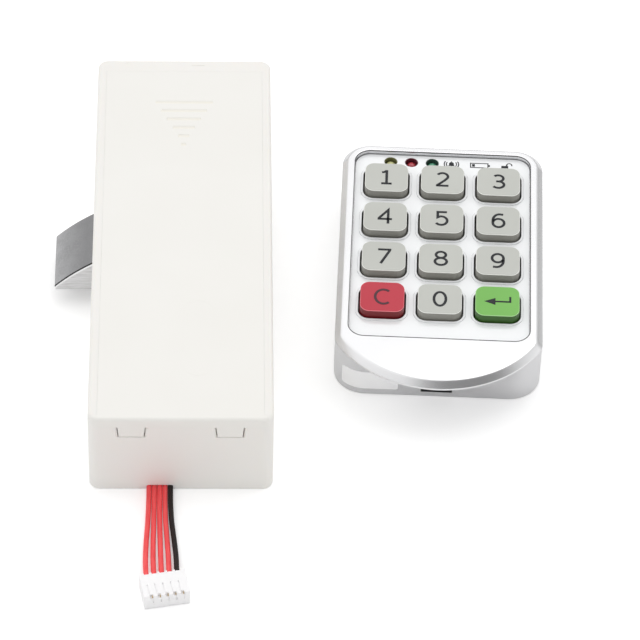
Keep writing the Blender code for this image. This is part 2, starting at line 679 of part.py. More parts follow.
def build_back_plate():
    side, end = INNER_X - GAP, INNER_Y - GAP
    outline = rounded_rectangle(-side, side, -end, end, RIB_WALL)
    plate = add_part("back_plate", prism([outline], 0, BACK_PLATE_THICK), HOUSING_LOOK, LOCK_ORIGIN)
    guide_low, guide_high = BACK_PLATE_THICK - OVERRUN, BOLT_BOTTOM - GAP
    join(plate, block((-side + GAP, BOLT_NEAR + GAP, guide_low),
                      (TUNNEL_END_X, BOLT_FAR - GAP, guide_high)))
    cut(plate, wire_notch(BACK_PLATE_THICK + OVERRUN, -HALF_LENGTH + CABLE_ROUTE[2][1] + WIRE_DIAMETER))
    for x, y in post_places():
        hole = SCREW_RADIUS + SCREW_PLAY
        cut(plate, cylinder(hole, -OVERRUN, BACK_PLATE_THICK + OVERRUN, "Z", (x, y), steps=SMALL_STEPS),
            cylinder(SCREW_HEAD_RADIUS + SCREW_PLAY + OVERRUN, -OVERRUN, SCREW_HEAD + GAP, "Z", (x, y),
                     tip_radius=hole, steps=SMALL_STEPS))
    for number, (x, y) in enumerate(post_places(), 1):
        add_part(f"back_screw_{number}",
                 screw_shape(SCREW_HEAD_RADIUS, SCREW_HEAD, SCREW_RADIUS, SCREW_LENGTH),
                 STEEL_LOOK, LOCK_ORIGIN, (x, y, GAP))


def groove_shape(row):
    """One grip groove of the cover: shorter towards the near end, so that the rows form an arrow."""
    half = GROOVE_LENGTH * GROOVE_LENGTH_SHARES[row] / 2
    middle = COVER_FAR - GROOVE_INSET - row * GROOVE_PITCH
    return block((-half, middle - GROOVE_WIDTH / 2, LOCK_HEIGHT - GROOVE_DEPTH),
                 (half, middle + GROOVE_WIDTH / 2, LOCK_HEIGHT + OVERRUN))


def build_cover():
    """The battery cover: a plate with runners, an end flange and two snap tongues."""
    plate = block((-COVER_HALF, -HALF_LENGTH, COVER_LOW), (COVER_HALF, COVER_FAR, LOCK_HEIGHT))
    cover = add_part("battery_cover", plate, HOUSING_LOOK, LOCK_ORIGIN)
    runner_out = COVER_HALF + RUNNER_GRIP - GAP
    for side in (-1, 1):
        low, high = sorted((side * (COVER_HALF - RUNNER_WIDTH), side * runner_out))
        join(cover, block((low, -HALF_LENGTH + FLANGE_THICK / 2, RUNNER_LOW),
                          (high, COVER_FAR - GAP, COVER_LOW)),
             block((low + GAP, -HALF_LENGTH + FLANGE_THICK / 2, RUNNER_LOW + GAP),
                   (high - GAP, COVER_FAR - 2 * GAP, COVER_LOW + GAP)))
    join(cover, block((-HALF_WIDTH, -HALF_LENGTH, RUNNER_LOW),
                      (HALF_WIDTH, -HALF_LENGTH + FLANGE_THICK, LOCK_HEIGHT)))
    keep_inside(cover, lock_block())
    for side in (-1, 1):
        join(cover, prism([tongue_outline(side * TONGUE_PLACE, 0)], -HALF_LENGTH,
                          -HALF_LENGTH + TONGUE_THICK, "Y"))
    for row in range(len(GROOVE_LENGTH_SHARES)):
        cut(cover, groove_shape(row))


def build_mechanism_cover():
    side = INNER_X - GAP
    outline = rounded_rectangle(-side, side, MECHANISM_NEAR + GAP, INNER_Y - GAP, RIB_WALL)
    add_part("mechanism_cover", prism([outline], COVER_PLATE_LOW, COVER_PLATE_HIGH), HOUSING_LOOK,
             LOCK_ORIGIN)


def cell_places():
    return [(i - (CELL_COUNT - 1) / 2) * CELL_PITCH for i in range(CELL_COUNT)]


def build_cells():
    for number, x in enumerate(cell_places(), 1):
        nub_near = number % 2 == 0
        body_near = CELL_NEAR + (CELL_NUB_HEIGHT if nub_near else 0)
        body_far = body_near + CELL_LENGTH - CELL_NUB_HEIGHT
        cell = add_part(f"battery_cell_{number}",
                        cylinder(CELL_RADIUS, body_near, body_far, "Y", (x, CELL_Z)), CELL_LOOK, LOCK_ORIGIN)
        nub = (CELL_NEAR, body_near + OVERRUN) if nub_near else (body_far - OVERRUN, CELL_FAR)
        join(cell, cylinder(CELL_NUB_RADIUS, *nub, "Y", (x, CELL_Z), steps=SMALL_STEPS))


def contact_profile(wall_y, into):
    """A sprung tongue, seen from the side: it stands off its plate towards the cell and folds back."""
    reach = wall_y + into * (CONTACT_THICK + CONTACT_SPRING)
    low, high = CELL_Z - CONTACT_TONGUE / 2, CELL_Z + CONTACT_TONGUE / 2
    inner = wall_y + into * CONTACT_THICK / 2
    return [(inner, low), (reach, CELL_Z - CONTACT_THICK), (reach, CELL_Z + CONTACT_THICK), (inner, high)]


def build_contacts():
    """Plates that link the cells in series: bridges over two cells and single end contacts."""
    cells = cell_places()
    near, far = BAY_NEAR + GAP, BAY_FAR - GAP
    groups = ((near, 1, cells[0:2]), (near, 1, cells[2:4]), (far, -1, cells[0:1]), (far, -1, cells[1:3]),
              (far, -1, cells[3:4]))
    for number, (wall, into, group) in enumerate(groups, 1):
        low_y, high_y = sorted((wall, wall + into * CONTACT_THICK))
        plate = block((group[0] - CONTACT_WIDTH / 2, low_y, CELL_Z - CONTACT_HEIGHT / 2),
                      (group[-1] + CONTACT_WIDTH / 2, high_y, CELL_Z + CONTACT_HEIGHT / 2))
        contact = add_part(f"battery_contact_{number}", plate, STEEL_LOOK, LOCK_ORIGIN)
        for x in group:
            join(contact, prism([contact_profile(wall, into)], x - CONTACT_TONGUE / 2,
                                x + CONTACT_TONGUE / 2, "X"))


def bolt_outline():
    """The bolt's head seen from the near end: flat below, with a convex ramp down to its tip."""
    low_tip = Vector((BOLT_TIP_X, BOLT_BOTTOM + BOLT_TIP))
    high = Vector((-HALF_WIDTH, BOLT_TOP))
    along = high - low_tip
    outwards = Vector((-along.y, along.x)).normalized()
    ramp = []
    steps = 2 * ROUND_STEPS
    for i in range(1, steps):
        share = i / steps
        ramp.append(tuple(low_tip + along * share + outwards * BOLT_BULGE * 4 * share * (1 - share)))
    return [(BOLT_SHOULDER_X, BOLT_BOTTOM), (BOLT_SHOULDER_X, BOLT_TOP), tuple(high), *reversed(ramp),
            tuple(low_tip), (BOLT_TIP_X, BOLT_BOTTOM)]


def build_bolt():
    bolt = add_part("latch_bolt", prism([bolt_outline()], BOLT_NEAR, BOLT_FAR, "Y"), STEEL_LOOK,
                    LOCK_ORIGIN)
    centre = (BOLT_Y, STEM_Z)
    join(bolt, cylinder(STEM_RADIUS, BOLT_SHOULDER_X - OVERRUN, STEM_END_X, "X", centre, steps=SMALL_STEPS),
         cylinder(STEM_HEAD_RADIUS, STEM_END_X - STEM_HEAD, STEM_END_X, "X", centre, steps=SMALL_STEPS))


def build_bolt_spring():
    """A compression spring on the stem, between the bolt's shoulder and the carriage's yoke."""
    start = BOLT_SHOULDER_X + GAP + SPRING_WIRE / 2
    length = YOKE_X - GAP - SPRING_WIRE / 2 - start
    per_turn = 8
    count = SPRING_TURNS * per_turn
    curve = bpy.data.curves.new("bolt_spring", "CURVE")
    curve.dimensions = "3D"
    curve.bevel_depth = SPRING_WIRE / 2
    curve.bevel_resolution = 1
    curve.use_fill_caps = True
    spline = curve.splines.new("POLY")
    spline.points.add(count)
    for i, point in enumerate(spline.points):
        angle = 2 * math.pi * i / per_turn
        point.co = (start + length * i / count, BOLT_Y + SPRING_RADIUS * math.cos(angle),
                    STEM_Z + SPRING_RADIUS * math.sin(angle), 1)
    item = bpy.data.objects.new("bolt_spring", curve)
    curve.materials.append(paint("bolt_spring", *STEEL_LOOK))
    PARTS.objects.link(item)
    place(item, LOCK_ORIGIN)


def rack_outline():
    """Straight-flanked teeth along X, cut thin by the backlash, on a bar that reaches the yoke floor."""
    root = RACK_PITCH_Z - DEDENDUM
    tip = RACK_PITCH_Z + TOOTH_MODULE
    pitch = math.pi * TOOTH_MODULE
    flat = pitch / 4 - BACKLASH / 2
    slope = math.tan(PRESSURE_ANGLE)
    foot, crown = flat + (RACK_PITCH_Z - root) * slope, flat - (tip - RACK_PITCH_Z) * slope
    start, end = PINION_PLACE - BOLT_TRAVEL - PITCH_RADIUS, CARRIAGE_END_X
    points = [(start, CARRIAGE_LOW), (start, root)]
    number = math.ceil((start + foot - PINION_PLACE) / pitch)
    while PINION_PLACE + number * pitch + foot < end:
        middle = PINION_PLACE + number * pitch
        points += [(middle - foot, root), (middle - crown, tip), (middle + crown, tip), (middle + foot, root)]
        number += 1
    return points + [(end, root), (end, CARRIAGE_LOW)]


def build_carriage():
    """The yoke that the bolt's stem passes through, and the rack that the pinion drives."""
    floor = block((YOKE_X, BOLT_NEAR, CARRIAGE_LOW),
                  (CARRIAGE_END_X, RACK_NEAR + GAP, CARRIAGE_TOP_FLOOR))
    carriage = add_part("bolt_carriage", floor, CARRIAGE_LOOK, LOCK_ORIGIN)
    join(carriage,
         block((YOKE_X, BOLT_Y - YOKE_HALF, CARRIAGE_LOW + GAP),
               (YOKE_FAR_X, BOLT_Y + YOKE_HALF, BOLT_TOP)),
         prism([rack_outline()], RACK_NEAR, RACK_FAR, "Y"))
    cut(carriage, cylinder(STEM_RADIUS + GAP, YOKE_X - OVERRUN, YOKE_FAR_X + OVERRUN, "X",
                           (BOLT_Y, STEM_Z), steps=SMALL_STEPS))


def involute(angle):
    return math.tan(angle) - angle


def pinion_outline():
    """Involute teeth, thinned by the backlash, with a gap between two of them facing straight down."""
    base = PITCH_RADIUS * math.cos(PRESSURE_ANGLE)
    tip, root = PITCH_RADIUS + TOOTH_MODULE, PITCH_RADIUS - DEDENDUM
    half_tooth = math.pi / (2 * PINION_TEETH) - BACKLASH / (2 * PITCH_RADIUS)
    points = []
    for tooth in range(PINION_TEETH):
        middle = -math.pi / 2 + (tooth + 0.5) * 2 * math.pi / PINION_TEETH
        flank = []
        for i in range(ROUND_STEPS + 1):
            radius = base + (tip - base) * i / ROUND_STEPS
            pressure = math.acos(min(1.0, base / radius))
            flank.append((radius, half_tooth + involute(PRESSURE_ANGLE) - involute(pressure)))
        flank.insert(0, (root, flank[0][1]))
        for radius, half in flank:
            points.append((radius * math.cos(middle - half), radius * math.sin(middle - half)))
        for radius, half in reversed(flank):
            points.append((radius * math.cos(middle + half), radius * math.sin(middle + half)))
    return points


def build_pinion():
    """The pinion and its shaft, with the object's origin on their common axis."""
    shape = prism([pinion_outline()], 0, RACK_WIDTH, "Y")
    pinion = add_part("drive_pinion", shape, BRASS_LOOK, LOCK_ORIGIN, (PINION_PLACE, RACK_NEAR, PINION_Z))
    shaft_end = GEARBOX_NEAR + SHAFT_INSERT - RACK_NEAR
    join(pinion, cylinder(SHAFT_RADIUS, -GAP, shaft_end, "Y", steps=SMALL_STEPS))


def build_motor():
    low_z, high_z = PINION_Z - GEARBOX_HEIGHT / 2, PINION_Z + GEARBOX_HEIGHT / 2
    motor = add_part("gear_motor", block((PINION_PLACE - GEARBOX_WIDTH / 2, GEARBOX_NEAR, low_z),
                                         (PINION_PLACE + GEARBOX_WIDTH / 2, MOTOR_NEAR, high_z)),
                     STEEL_LOOK, LOCK_ORIGIN)
    join(motor, cylinder(MOTOR_RADIUS, MOTOR_NEAR - OVERRUN, MOTOR_FAR, "Y", (PINION_PLACE, PINION_Z)),
         cylinder(MOTOR_BOSS_RADIUS, MOTOR_FAR - OVERRUN, MOTOR_FAR + MOTOR_BOSS_LENGTH, "Y",
                  (PINION_PLACE, PINION_Z), steps=SMALL_STEPS))
    cut(motor, cylinder(SHAFT_RADIUS + SHAFT_PLAY, GEARBOX_NEAR - OVERRUN, GEARBOX_NEAR + SHAFT_INSERT + GAP,
                        "Y", (PINION_PLACE, PINION_Z), steps=SMALL_STEPS))


def build_motor_clamp():
    """A strap over the gearbox with two feet on the cradle rib."""
    inner = GEARBOX_WIDTH / 2 + GAP
    outer = inner + CLAMP_THICK
    low, high = CRADLE_HIGH + GAP, PINION_Z + GEARBOX_HEIGHT / 2 + GAP
    foot = outer + CLAMP_FOOT
    middle = PINION_PLACE
    outline = [(middle - foot, low), (middle - inner, low), (middle - inner, high), (middle + inner, high),
               (middle + inner, low), (middle + foot, low), (middle + foot, low + CLAMP_THICK),
               (middle + outer, low + CLAMP_THICK), (middle + outer, high + CLAMP_THICK),
               (middle - outer, high + CLAMP_THICK), (middle - outer, low + CLAMP_THICK),
               (middle - foot, low + CLAMP_THICK)]
    add_part("motor_clamp", prism([outline], MOTOR_NEAR - CLAMP_WIDTH + GAP, MOTOR_NEAR - GAP, "Y"),
             STEEL_LOOK, LOCK_ORIGIN)


def build_junction_board():
    outline = rounded_rectangle(-BOARD_HALF_WIDTH, BOARD_HALF_WIDTH, BOARD_NEAR, BOARD_FAR, RIB_WALL)
    add_part("junction_board", prism([outline], BOARD_LOW, BOARD_HIGH), BOARD_LOOK, LOCK_ORIGIN)
    header_near = -HALF_LENGTH + CABLE_ROUTE[0][1] + GAP
    header = block((CABLE_PLACE - HEADER_WIDTH / 2, header_near, INSIDE_LOW),
                   (CABLE_PLACE + HEADER_WIDTH / 2, header_near + HEADER_LENGTH, BOARD_LOW - GAP))
    add_part("wire_header", header, NYLON_LOOK, LOCK_ORIGIN)


def switch_button_span():
    middle = CARRIAGE_END_X - SWITCH_LENGTH * SWITCH_BUTTON_SHARE
    return middle - SWITCH_BUTTON / 2, middle + SWITCH_BUTTON / 2


def build_switch():
    """The limit switch beside the carriage, its button reaching through the near rib."""
    low, high = switch_button_span()
    middle = (low + high) / 2
    far = BOLT_NEAR - GAP - RIB_WALL - GAP
    body = block((middle - SWITCH_LENGTH / 2, far - SWITCH_DEPTH, INSIDE_LOW),
                 (middle + SWITCH_LENGTH / 2, far, INSIDE_LOW + SWITCH_HEIGHT))
    switch = add_part("limit_switch", body, BLACK_LOOK, LOCK_ORIGIN)
    join(switch, block((low, far - OVERRUN, INSIDE_LOW + 2 * GAP),
                       (high, BOLT_NEAR - GAP, INSIDE_LOW + SWITCH_HEIGHT / 2 - GAP)))


def spline_point(points, position):
    """A point on the smooth curve through the points, by a cubic between its neighbours."""
    i = min(int(position), len(points) - 2)
    t = position - i
    a, b, c, d = (points[max(0, min(len(points) - 1, i + k))] for k in (-1, 0, 1, 2))
    return tuple(0.5 * (2 * q + (r - p) * t + (2 * p - 5 * q + 4 * r - s) * t * t
                        + (3 * q - p - 3 * r + s) * t ** 3) for p, q, r, s in zip(a, b, c, d))


def wire_points(number):
    """The route's own points for one wire, in metres, counted from the left."""
    offset = number - (WIRE_COUNT - 1) / 2
    points = []
    for x, y, z, spacing, turned in CABLE_ROUTE:
        turn = turned * CONNECTOR_TURN
        points.append((x + offset * spacing * math.cos(turn),
                       y - HALF_LENGTH + offset * spacing * math.sin(turn), z))
    return points


def path_length(points):
    return sum((Vector(b) - Vector(a)).length for a, b in zip(points, points[1:]))


def build_wires():
    for number in range(WIRE_COUNT):
        red = number < WIRE_COUNT - 1
        name = f"wire_red_{number + 1}" if red else "wire_black"
        own = wire_points(number)
        count = math.ceil(path_length(own) / (ROUTE_STEP_DIAMETERS * WIRE_DIAMETER))
        curve = bpy.data.curves.new(name, "CURVE")
        curve.dimensions = "3D"
        curve.bevel_depth = WIRE_DIAMETER / 2
        curve.bevel_resolution = 2
        curve.use_fill_caps = True
        spline = curve.splines.new("POLY")
        spline.points.add(count)
        for i, point in enumerate(spline.points):
            point.co = (*spline_point(own, (len(own) - 1) * i / count), 1)
        item = bpy.data.objects.new(name, curve)
        curve.materials.append(paint(name, *(RED_WIRE_LOOK if red else BLACK_WIRE_LOOK)))
        PARTS.objects.link(item)
        place(item, LOCK_ORIGIN)


def build_connector():
    """The plug on the wires' far end, turned as it lies, with a row of contact mouths in its near face."""
    x, y = CABLE_ROUTE[-1][0], CABLE_ROUTE[-1][1] - HALF_LENGTH
    half = CONNECTOR_WIDTH / 2
    shape = block((-half, -CONNECTOR_LENGTH - GAP, 0), (half, -GAP, CONNECTOR_HEIGHT))
    connector = add_part("cable_connector", shape, NYLON_LOOK, LOCK_ORIGIN, (x, y, 0))
    connector.rotation_euler = (0, 0, CONNECTOR_TURN)
    for number in range(WIRE_COUNT):
        middle = (number - (WIRE_COUNT - 1) / 2) * CONNECTOR_PITCH
        near, top = -GAP - CONNECTOR_LENGTH, CONNECTOR_HEIGHT - MOUTH_SKIN
        low = (middle - MOUTH_WIDTH / 2, near - OVERRUN, top - MOUTH_HEIGHT)
        high = (middle + MOUTH_WIDTH / 2, near + MOUTH_DEPTH, top)
        tool = add_tool(connector, block(low, high), "DIFFERENCE")
        tool.rotation_euler = (0, 0, CONNECTOR_TURN)


def near_edge(x, lip_share, inset):
    """The shell's near side at x: a straight base with round corners, blended towards the lip's arc."""
    inner = PAD_HALF - PAD_NEAR_CORNER
    corner = PAD_NEAR_CORNER - inset
    base = inset
    if abs(x) > inner:
        base += corner - math.sqrt(max(0.0, corner ** 2 - (abs(x) - inner) ** 2))
    lip = LIP_CENTRE_Y - math.sqrt((LIP_RADIUS - inset) ** 2 - x ** 2)
    return base + (lip - base) * lip_share


def shell_outline(lip_share, inset=0.0):
    half = PAD_HALF - inset
    corner = PAD_FAR_CORNER - inset
    far = PAD_LENGTH - inset
    points = arc_points((half - corner, far - corner), corner, 0, 1, 2 * ROUND_STEPS)
    points += arc_points((-half + corner, far - corner), corner, 1, 2, 2 * ROUND_STEPS)
    for i in range(LIP_POINTS + 1):
        x = -half * math.cos(math.pi * i / LIP_POINTS)
        points.append((x, near_edge(x, lip_share, inset)))
    return points


def shell_rings():
    """Base ring, the cove under the lip, the lip's upright band, and the chamfer."""
    lip_low = PAD_HEIGHT - PAD_CHAMFER - LIP_THICK
    rings = [at_height(shell_outline(0), 0), at_height(shell_outline(0), COVE_START)]
    for i in range(1, COVE_STEPS + 1):
        angle = math.pi / 2 * i / COVE_STEPS
        rings.append(at_height(shell_outline(1 - math.cos(angle)),
                               COVE_START + (lip_low - COVE_START) * math.sin(angle)))
    rings.append(at_height(shell_outline(1), PAD_HEIGHT - PAD_CHAMFER))
    rings.append(at_height(shell_outline(1, PAD_CHAMFER), PAD_HEIGHT))
    return rings


def key_places():
    """Key centres from the near left: bottom row first."""
    places = []
    for row in range(KEY_ROWS):
        for column in range(KEY_COLUMNS):
            x = (column - (KEY_COLUMNS - 1) / 2) * KEY_PITCH_X
            places.append((x, KEY_FIRST_Y + row * KEY_PITCH_Y))
    return places


def key_opening(x, y, grow):
    half_x, half_y = KEY_WIDTH / 2 + grow, KEY_DEPTH / 2 + grow
    return rounded_rectangle(x - half_x, x + half_x, y - half_y, y + half_y, KEY_CORNER + grow, KEY_STEPS)


def led_places():
    return [(-POCKET_HALF + LED_SIDE_MARGIN + i * LED_PITCH, LED_Y) for i in range(LED_COUNT)]


def face_openings():
    openings = [key_opening(x, y, KEY_SLOT) for x, y in key_places()]
    return openings + [circle(spot, LED_HOLE_RADIUS, POST_STEPS) for spot in led_places()]


def pad_posts():
    """The shell's four posts: near left, near right, far left, far right."""
    return [(x, y) for y in (PAD_POST_NEAR, PAD_POST_FAR) for x in (-PAD_POST_PLACE, PAD_POST_PLACE)]


def between_keys(row):
    """The line between a key row and the next one."""
    return KEY_FIRST_Y + (row + 0.5) * KEY_PITCH_Y


def socket_box(grow, low, high):
    half_x, half_y = SOCKET_WIDTH / 2 + grow, SOCKET_DEPTH / 2 + grow
    return block((-half_x, SOCKET_Y - half_y, low), (half_x, SOCKET_Y + half_y, high))


def build_keypad_body():
    body = add_part("keypad_body", loft(shell_rings()), ZINC_LOOK, PAD_ORIGIN)
    pocket = rounded_rectangle(-POCKET_HALF, POCKET_HALF, POCKET_NEAR, POCKET_FAR, POCKET_CORNER)
    cavity = rounded_rectangle(-CAVITY_HALF, CAVITY_HALF, PAD_WALL, CAVITY_FAR, PAD_INNER_CORNER)
    cut(body, prism([pocket], DECK_TOP, PAD_HEIGHT + OVERRUN), prism([cavity], -OVERRUN, DECK_LOW_Z))
    cut(body, prism(face_openings(), DECK_LOW_Z - OVERRUN, DECK_TOP + OVERRUN))
    for number, (x, y) in enumerate(pad_posts()):
        low = PAD_BACK_THICK + GAP
        join(body, cylinder(PAD_POST_RADIUS, low, DECK_LOW_Z + OVERRUN / 2, "Z", (x, y), steps=POST_STEPS))
        holds_insert = number in INSERT_POSTS
        bore = INSERT_RADIUS + GAP if holds_insert else SCREW_RADIUS + SCREW_PLAY
        depth = INSERT_LENGTH + 2 * GAP if holds_insert else SCREW_LENGTH + 2 * GAP
        cut(body, cylinder(bore, low - OVERRUN, depth, "Z", (x, y), steps=SMALL_STEPS))
    cut(body, block((-PORT_WIDTH / 2 - GAP, -OVERRUN, PORT_LOW - GAP),
                    (PORT_WIDTH / 2 + GAP, PAD_WALL + OVERRUN, PORT_LOW + PORT_HEIGHT + GAP)))


def build_face_plate():
    half = POCKET_HALF - GAP
    outline = rounded_rectangle(-half, half, POCKET_NEAR + GAP, POCKET_FAR - GAP, POCKET_CORNER - GAP)
    add_part("face_plate", prism([outline, *face_openings()], PLATE_LOW, PLATE_TOP), FACE_LOOK, PAD_ORIGIN)


def key_shape():
    """One key about its own centre: a flange that stays under the deck, then drafted sides."""
    def ring(grow, z, corner):
        half_x, half_y = KEY_WIDTH / 2 + grow, KEY_DEPTH / 2 + grow
        return at_height(rounded_rectangle(-half_x, half_x, -half_y, half_y, corner, KEY_STEPS), z)
    rings = [ring(KEY_REACH, KEY_LOW, KEY_CORNER + KEY_REACH),
             ring(KEY_REACH, KEY_FLANGE_TOP, KEY_CORNER + KEY_REACH),
             ring(0, KEY_FLANGE_TOP, KEY_CORNER),
             ring(-KEY_DRAFT, KEY_TOP - KEY_EDGE, KEY_CORNER - KEY_DRAFT)]
    for share in (0.5, 1.0):
        drop = KEY_EDGE * (1 - math.sin(math.pi / 2 * share))
        inset = KEY_DRAFT + KEY_EDGE * (1 - math.cos(math.pi / 2 * share))
        rings.append(ring(-inset, KEY_TOP - drop, KEY_CORNER - inset))
    return loft(rings)


KEY_NAMES = ("clear", "0", "enter", "7", "8", "9", "4", "5", "6", "1", "2", "3")
KEY_COLOURS = {"clear": (0.62, 0.08, 0.11), "enter": (0.24, 0.56, 0.15)}
KEY_GREY = (0.60, 0.60, 0.55)
KEY_ROUGHNESS = 0.45


def build_keys():
    for name, (x, y) in zip(KEY_NAMES, key_places()):
        look = (KEY_COLOURS.get(name, KEY_GREY), KEY_ROUGHNESS)
        add_part(f"key_{name}", key_shape(), look, PAD_ORIGIN, (x, y, 0))


def board_outline():
    """The board's and the mat's outline: a rectangle with its corners cut away round the posts."""
    half, notch = CAVITY_HALF - PAD_BOARD_CLEAR, PAD_POST_PLACE - PAD_POST_CLEAR
    near, far = PAD_WALL + PAD_BOARD_CLEAR, CAVITY_FAR - PAD_BOARD_CLEAR
    near_notch, far_notch = PAD_POST_NEAR + PAD_POST_CLEAR, PAD_POST_FAR - PAD_POST_CLEAR
    return [(-notch, near), (notch, near), (notch, near_notch), (half, near_notch), (half, far_notch),
            (notch, far_notch), (notch, far), (-notch, far), (-notch, far_notch), (-half, far_notch),
            (-half, near_notch), (-notch, near_notch)]


def build_keypad_back():
    """The cover in the shell's open back, with its two screws."""
    half = CAVITY_HALF - GAP
    outline = rounded_rectangle(-half, half, PAD_WALL + GAP, CAVITY_FAR - GAP, PAD_INNER_CORNER)
    back = add_part("keypad_back_cover", prism([outline], 0, PAD_BACK_THICK), BLACK_LOOK, PAD_ORIGIN)
    cut(back, socket_box(GAP, -OVERRUN, PAD_BACK_THICK + OVERRUN))
    for number, (x, y) in enumerate(pad_posts()):
        holds_insert = number in INSERT_POSTS
        hole = INSERT_RADIUS + GAP if holds_insert else SCREW_RADIUS + SCREW_PLAY
        cut(back, cylinder(hole, -OVERRUN, PAD_BACK_THICK + OVERRUN, "Z", (x, y), steps=SMALL_STEPS))
        if holds_insert:
            continue
        head_hole = PAD_SCREW_HEAD_RADIUS + SCREW_PLAY
        cut(back, cylinder(head_hole, -OVERRUN, GAP, "Z", (x, y), steps=SMALL_STEPS),
            cylinder(head_hole, GAP / 2, SCREW_HEAD + GAP, "Z", (x, y), tip_radius=hole, steps=SMALL_STEPS))
    screw_posts = [post for number, post in enumerate(pad_posts()) if number not in INSERT_POSTS]
    for number, (x, y) in enumerate(screw_posts, 1):
        add_part(f"keypad_screw_{number}",
                 screw_shape(PAD_SCREW_HEAD_RADIUS, SCREW_HEAD, SCREW_RADIUS, SCREW_LENGTH), STEEL_LOOK,
                 PAD_ORIGIN, (x, y, GAP))


def build_mounting_inserts():
    for number, post in enumerate(INSERT_POSTS, 1):
        x, y = pad_posts()[post]
        insert = add_part(f"mounting_insert_{number}",
                          cylinder(INSERT_RADIUS, 0, INSERT_LENGTH, steps=SMALL_STEPS), BRASS_LOOK,
                          PAD_ORIGIN, (x, y, GAP))
        cut(insert, cylinder(INSERT_BORE, -OVERRUN, INSERT_LENGTH + OVERRUN, steps=SMALL_STEPS))


def build_key_mat():
    """A silicone sheet with one collapsing dome under each key and holes for the lamps."""
    lamps = [circle(spot, LED_HOLE_RADIUS + 2 * LED_FLANGE, SMALL_STEPS) for spot in led_places()]
    mat = add_part("key_mat", prism([board_outline(), *lamps], MAT_LOW, MAT_TOP), SILICONE_LOOK, PAD_ORIGIN)
    domes = [cylinder(DOME_RADIUS, MAT_TOP - MAT_THICK / 2, MAT_TOP + DOME_HEIGHT, "Z", spot,
                      tip_radius=DOME_TIP_RADIUS, steps=SMALL_STEPS) for spot in key_places()]
    add_tool(mat, together(domes), "UNION", "MANIFOLD")


def build_keypad_board():
    add_part("keypad_board", prism([board_outline()], PAD_BOARD_LOW, PAD_BOARD_TOP), BOARD_LOOK, PAD_ORIGIN)


def led_profile():
    """Radius and height of a lamp from its flange up over its dome."""
    top = PLATE_TOP - LED_SINK
    foot = PAD_BOARD_TOP + GAP
    points = [(LED_RADIUS + LED_FLANGE, foot), (LED_RADIUS + LED_FLANGE, foot + LED_FLANGE),
              (LED_RADIUS, foot + LED_FLANGE)]
    for i in range(ROUND_STEPS):
        angle = math.pi / 2 * i / ROUND_STEPS
        points.append((LED_RADIUS * math.cos(angle), top - LED_RADIUS + LED_RADIUS * math.sin(angle)))
    return points


def build_leds():
    for (name, colour), (x, y) in zip(LAMP_COLOURS.items(), led_places()):
        rings = [at_height(circle((0, 0), radius, SMALL_STEPS), z) for radius, z in led_profile()]
        add_part(f"led_{name}", loft(rings), (colour, LAMP_ROUGHNESS), PAD_ORIGIN, (x, y, 0))


def build_cable_socket():
    """The socket on the board's underside that the plug goes into, open towards the back."""
    top = PAD_BOARD_LOW - GAP
    socket = add_part("cable_socket", socket_box(0, 0, top), NYLON_LOOK, PAD_ORIGIN)
    floor = top - SOCKET_WALL
    cut(socket, socket_box(-SOCKET_WALL, -OVERRUN, floor))
    for number in range(WIRE_COUNT):
        x = (number - (WIRE_COUNT - 1) / 2) * CONNECTOR_PITCH
        join(socket, block((x - PIN_HALF, SOCKET_Y - PIN_HALF, floor - PIN_LENGTH),
                           (x + PIN_HALF, SOCKET_Y + PIN_HALF, floor + SOCKET_WALL / 2)))


def build_power_port():
    """The emergency power port below the lip: a metal shell on the board, its mouth in the near wall."""
    low, high, near = PORT_LOW, PORT_LOW + PORT_HEIGHT, PORT_SET_BACK
    half = PORT_WIDTH / 2
    port = add_part("power_port", block((-half, near, low), (half, near + PORT_DEPTH, high)), STEEL_LOOK,
                    PAD_ORIGIN)
    cut(port, block((-half + PORT_SKIN, near - OVERRUN, low + PORT_SKIN),
                    (half - PORT_SKIN, near + PORT_DEPTH - PORT_SKIN, high - PORT_SKIN)))
    middle = (low + high) / 2
    join(port, block((-PORT_TONGUE_WIDTH / 2, near + PORT_SET_BACK, middle - PORT_TONGUE_THICK / 2),
                     (PORT_TONGUE_WIDTH / 2, near + PORT_DEPTH - PORT_SKIN / 2,
                      middle + PORT_TONGUE_THICK / 2)))


def build_buzzer():
    centre = (CAVITY_HALF / 2, between_keys(0))
    top = PAD_BOARD_LOW - GAP
    buzzer = add_part("buzzer", cylinder(BUZZER_RADIUS, top - BUZZER_HEIGHT, top, "Z", centre), BLACK_LOOK,
                      PAD_ORIGIN)
    cut(buzzer, cylinder(BUZZER_PORT, top - BUZZER_HEIGHT - OVERRUN, top - BUZZER_HEIGHT / 2, "Z", centre,
                         steps=SMALL_STEPS))


def main():
    build_housing()
    build_back_plate()
    build_cover()
    build_mechanism_cover()
    build_cells()
    build_contacts()
    build_bolt()
    build_bolt_spring()
    build_carriage()
    build_pinion()
    build_motor()
    build_motor_clamp()
    build_junction_board()
    build_switch()
    build_wires()
    build_connector()
    build_keypad_body()
    build_face_plate()
    build_keys()
    build_key_mat()
    build_keypad_board()
    build_keypad_back()
    build_mounting_inserts()
    build_leds()
    build_cable_socket()
    build_power_port()
    build_buzzer()


main()
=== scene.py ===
"""The visible pieces of the electronic cabinet lock: the latch body with its cable, and the keypad unit.

Shapes are drawn in millimetres, in the latch body's frame or in the keypad's own frame, and put into
metres when they become pieces. Both frames are the ones that the solids were drawn in.
"""
import math

import bmesh
import bpy
from mathutils import Matrix, Vector


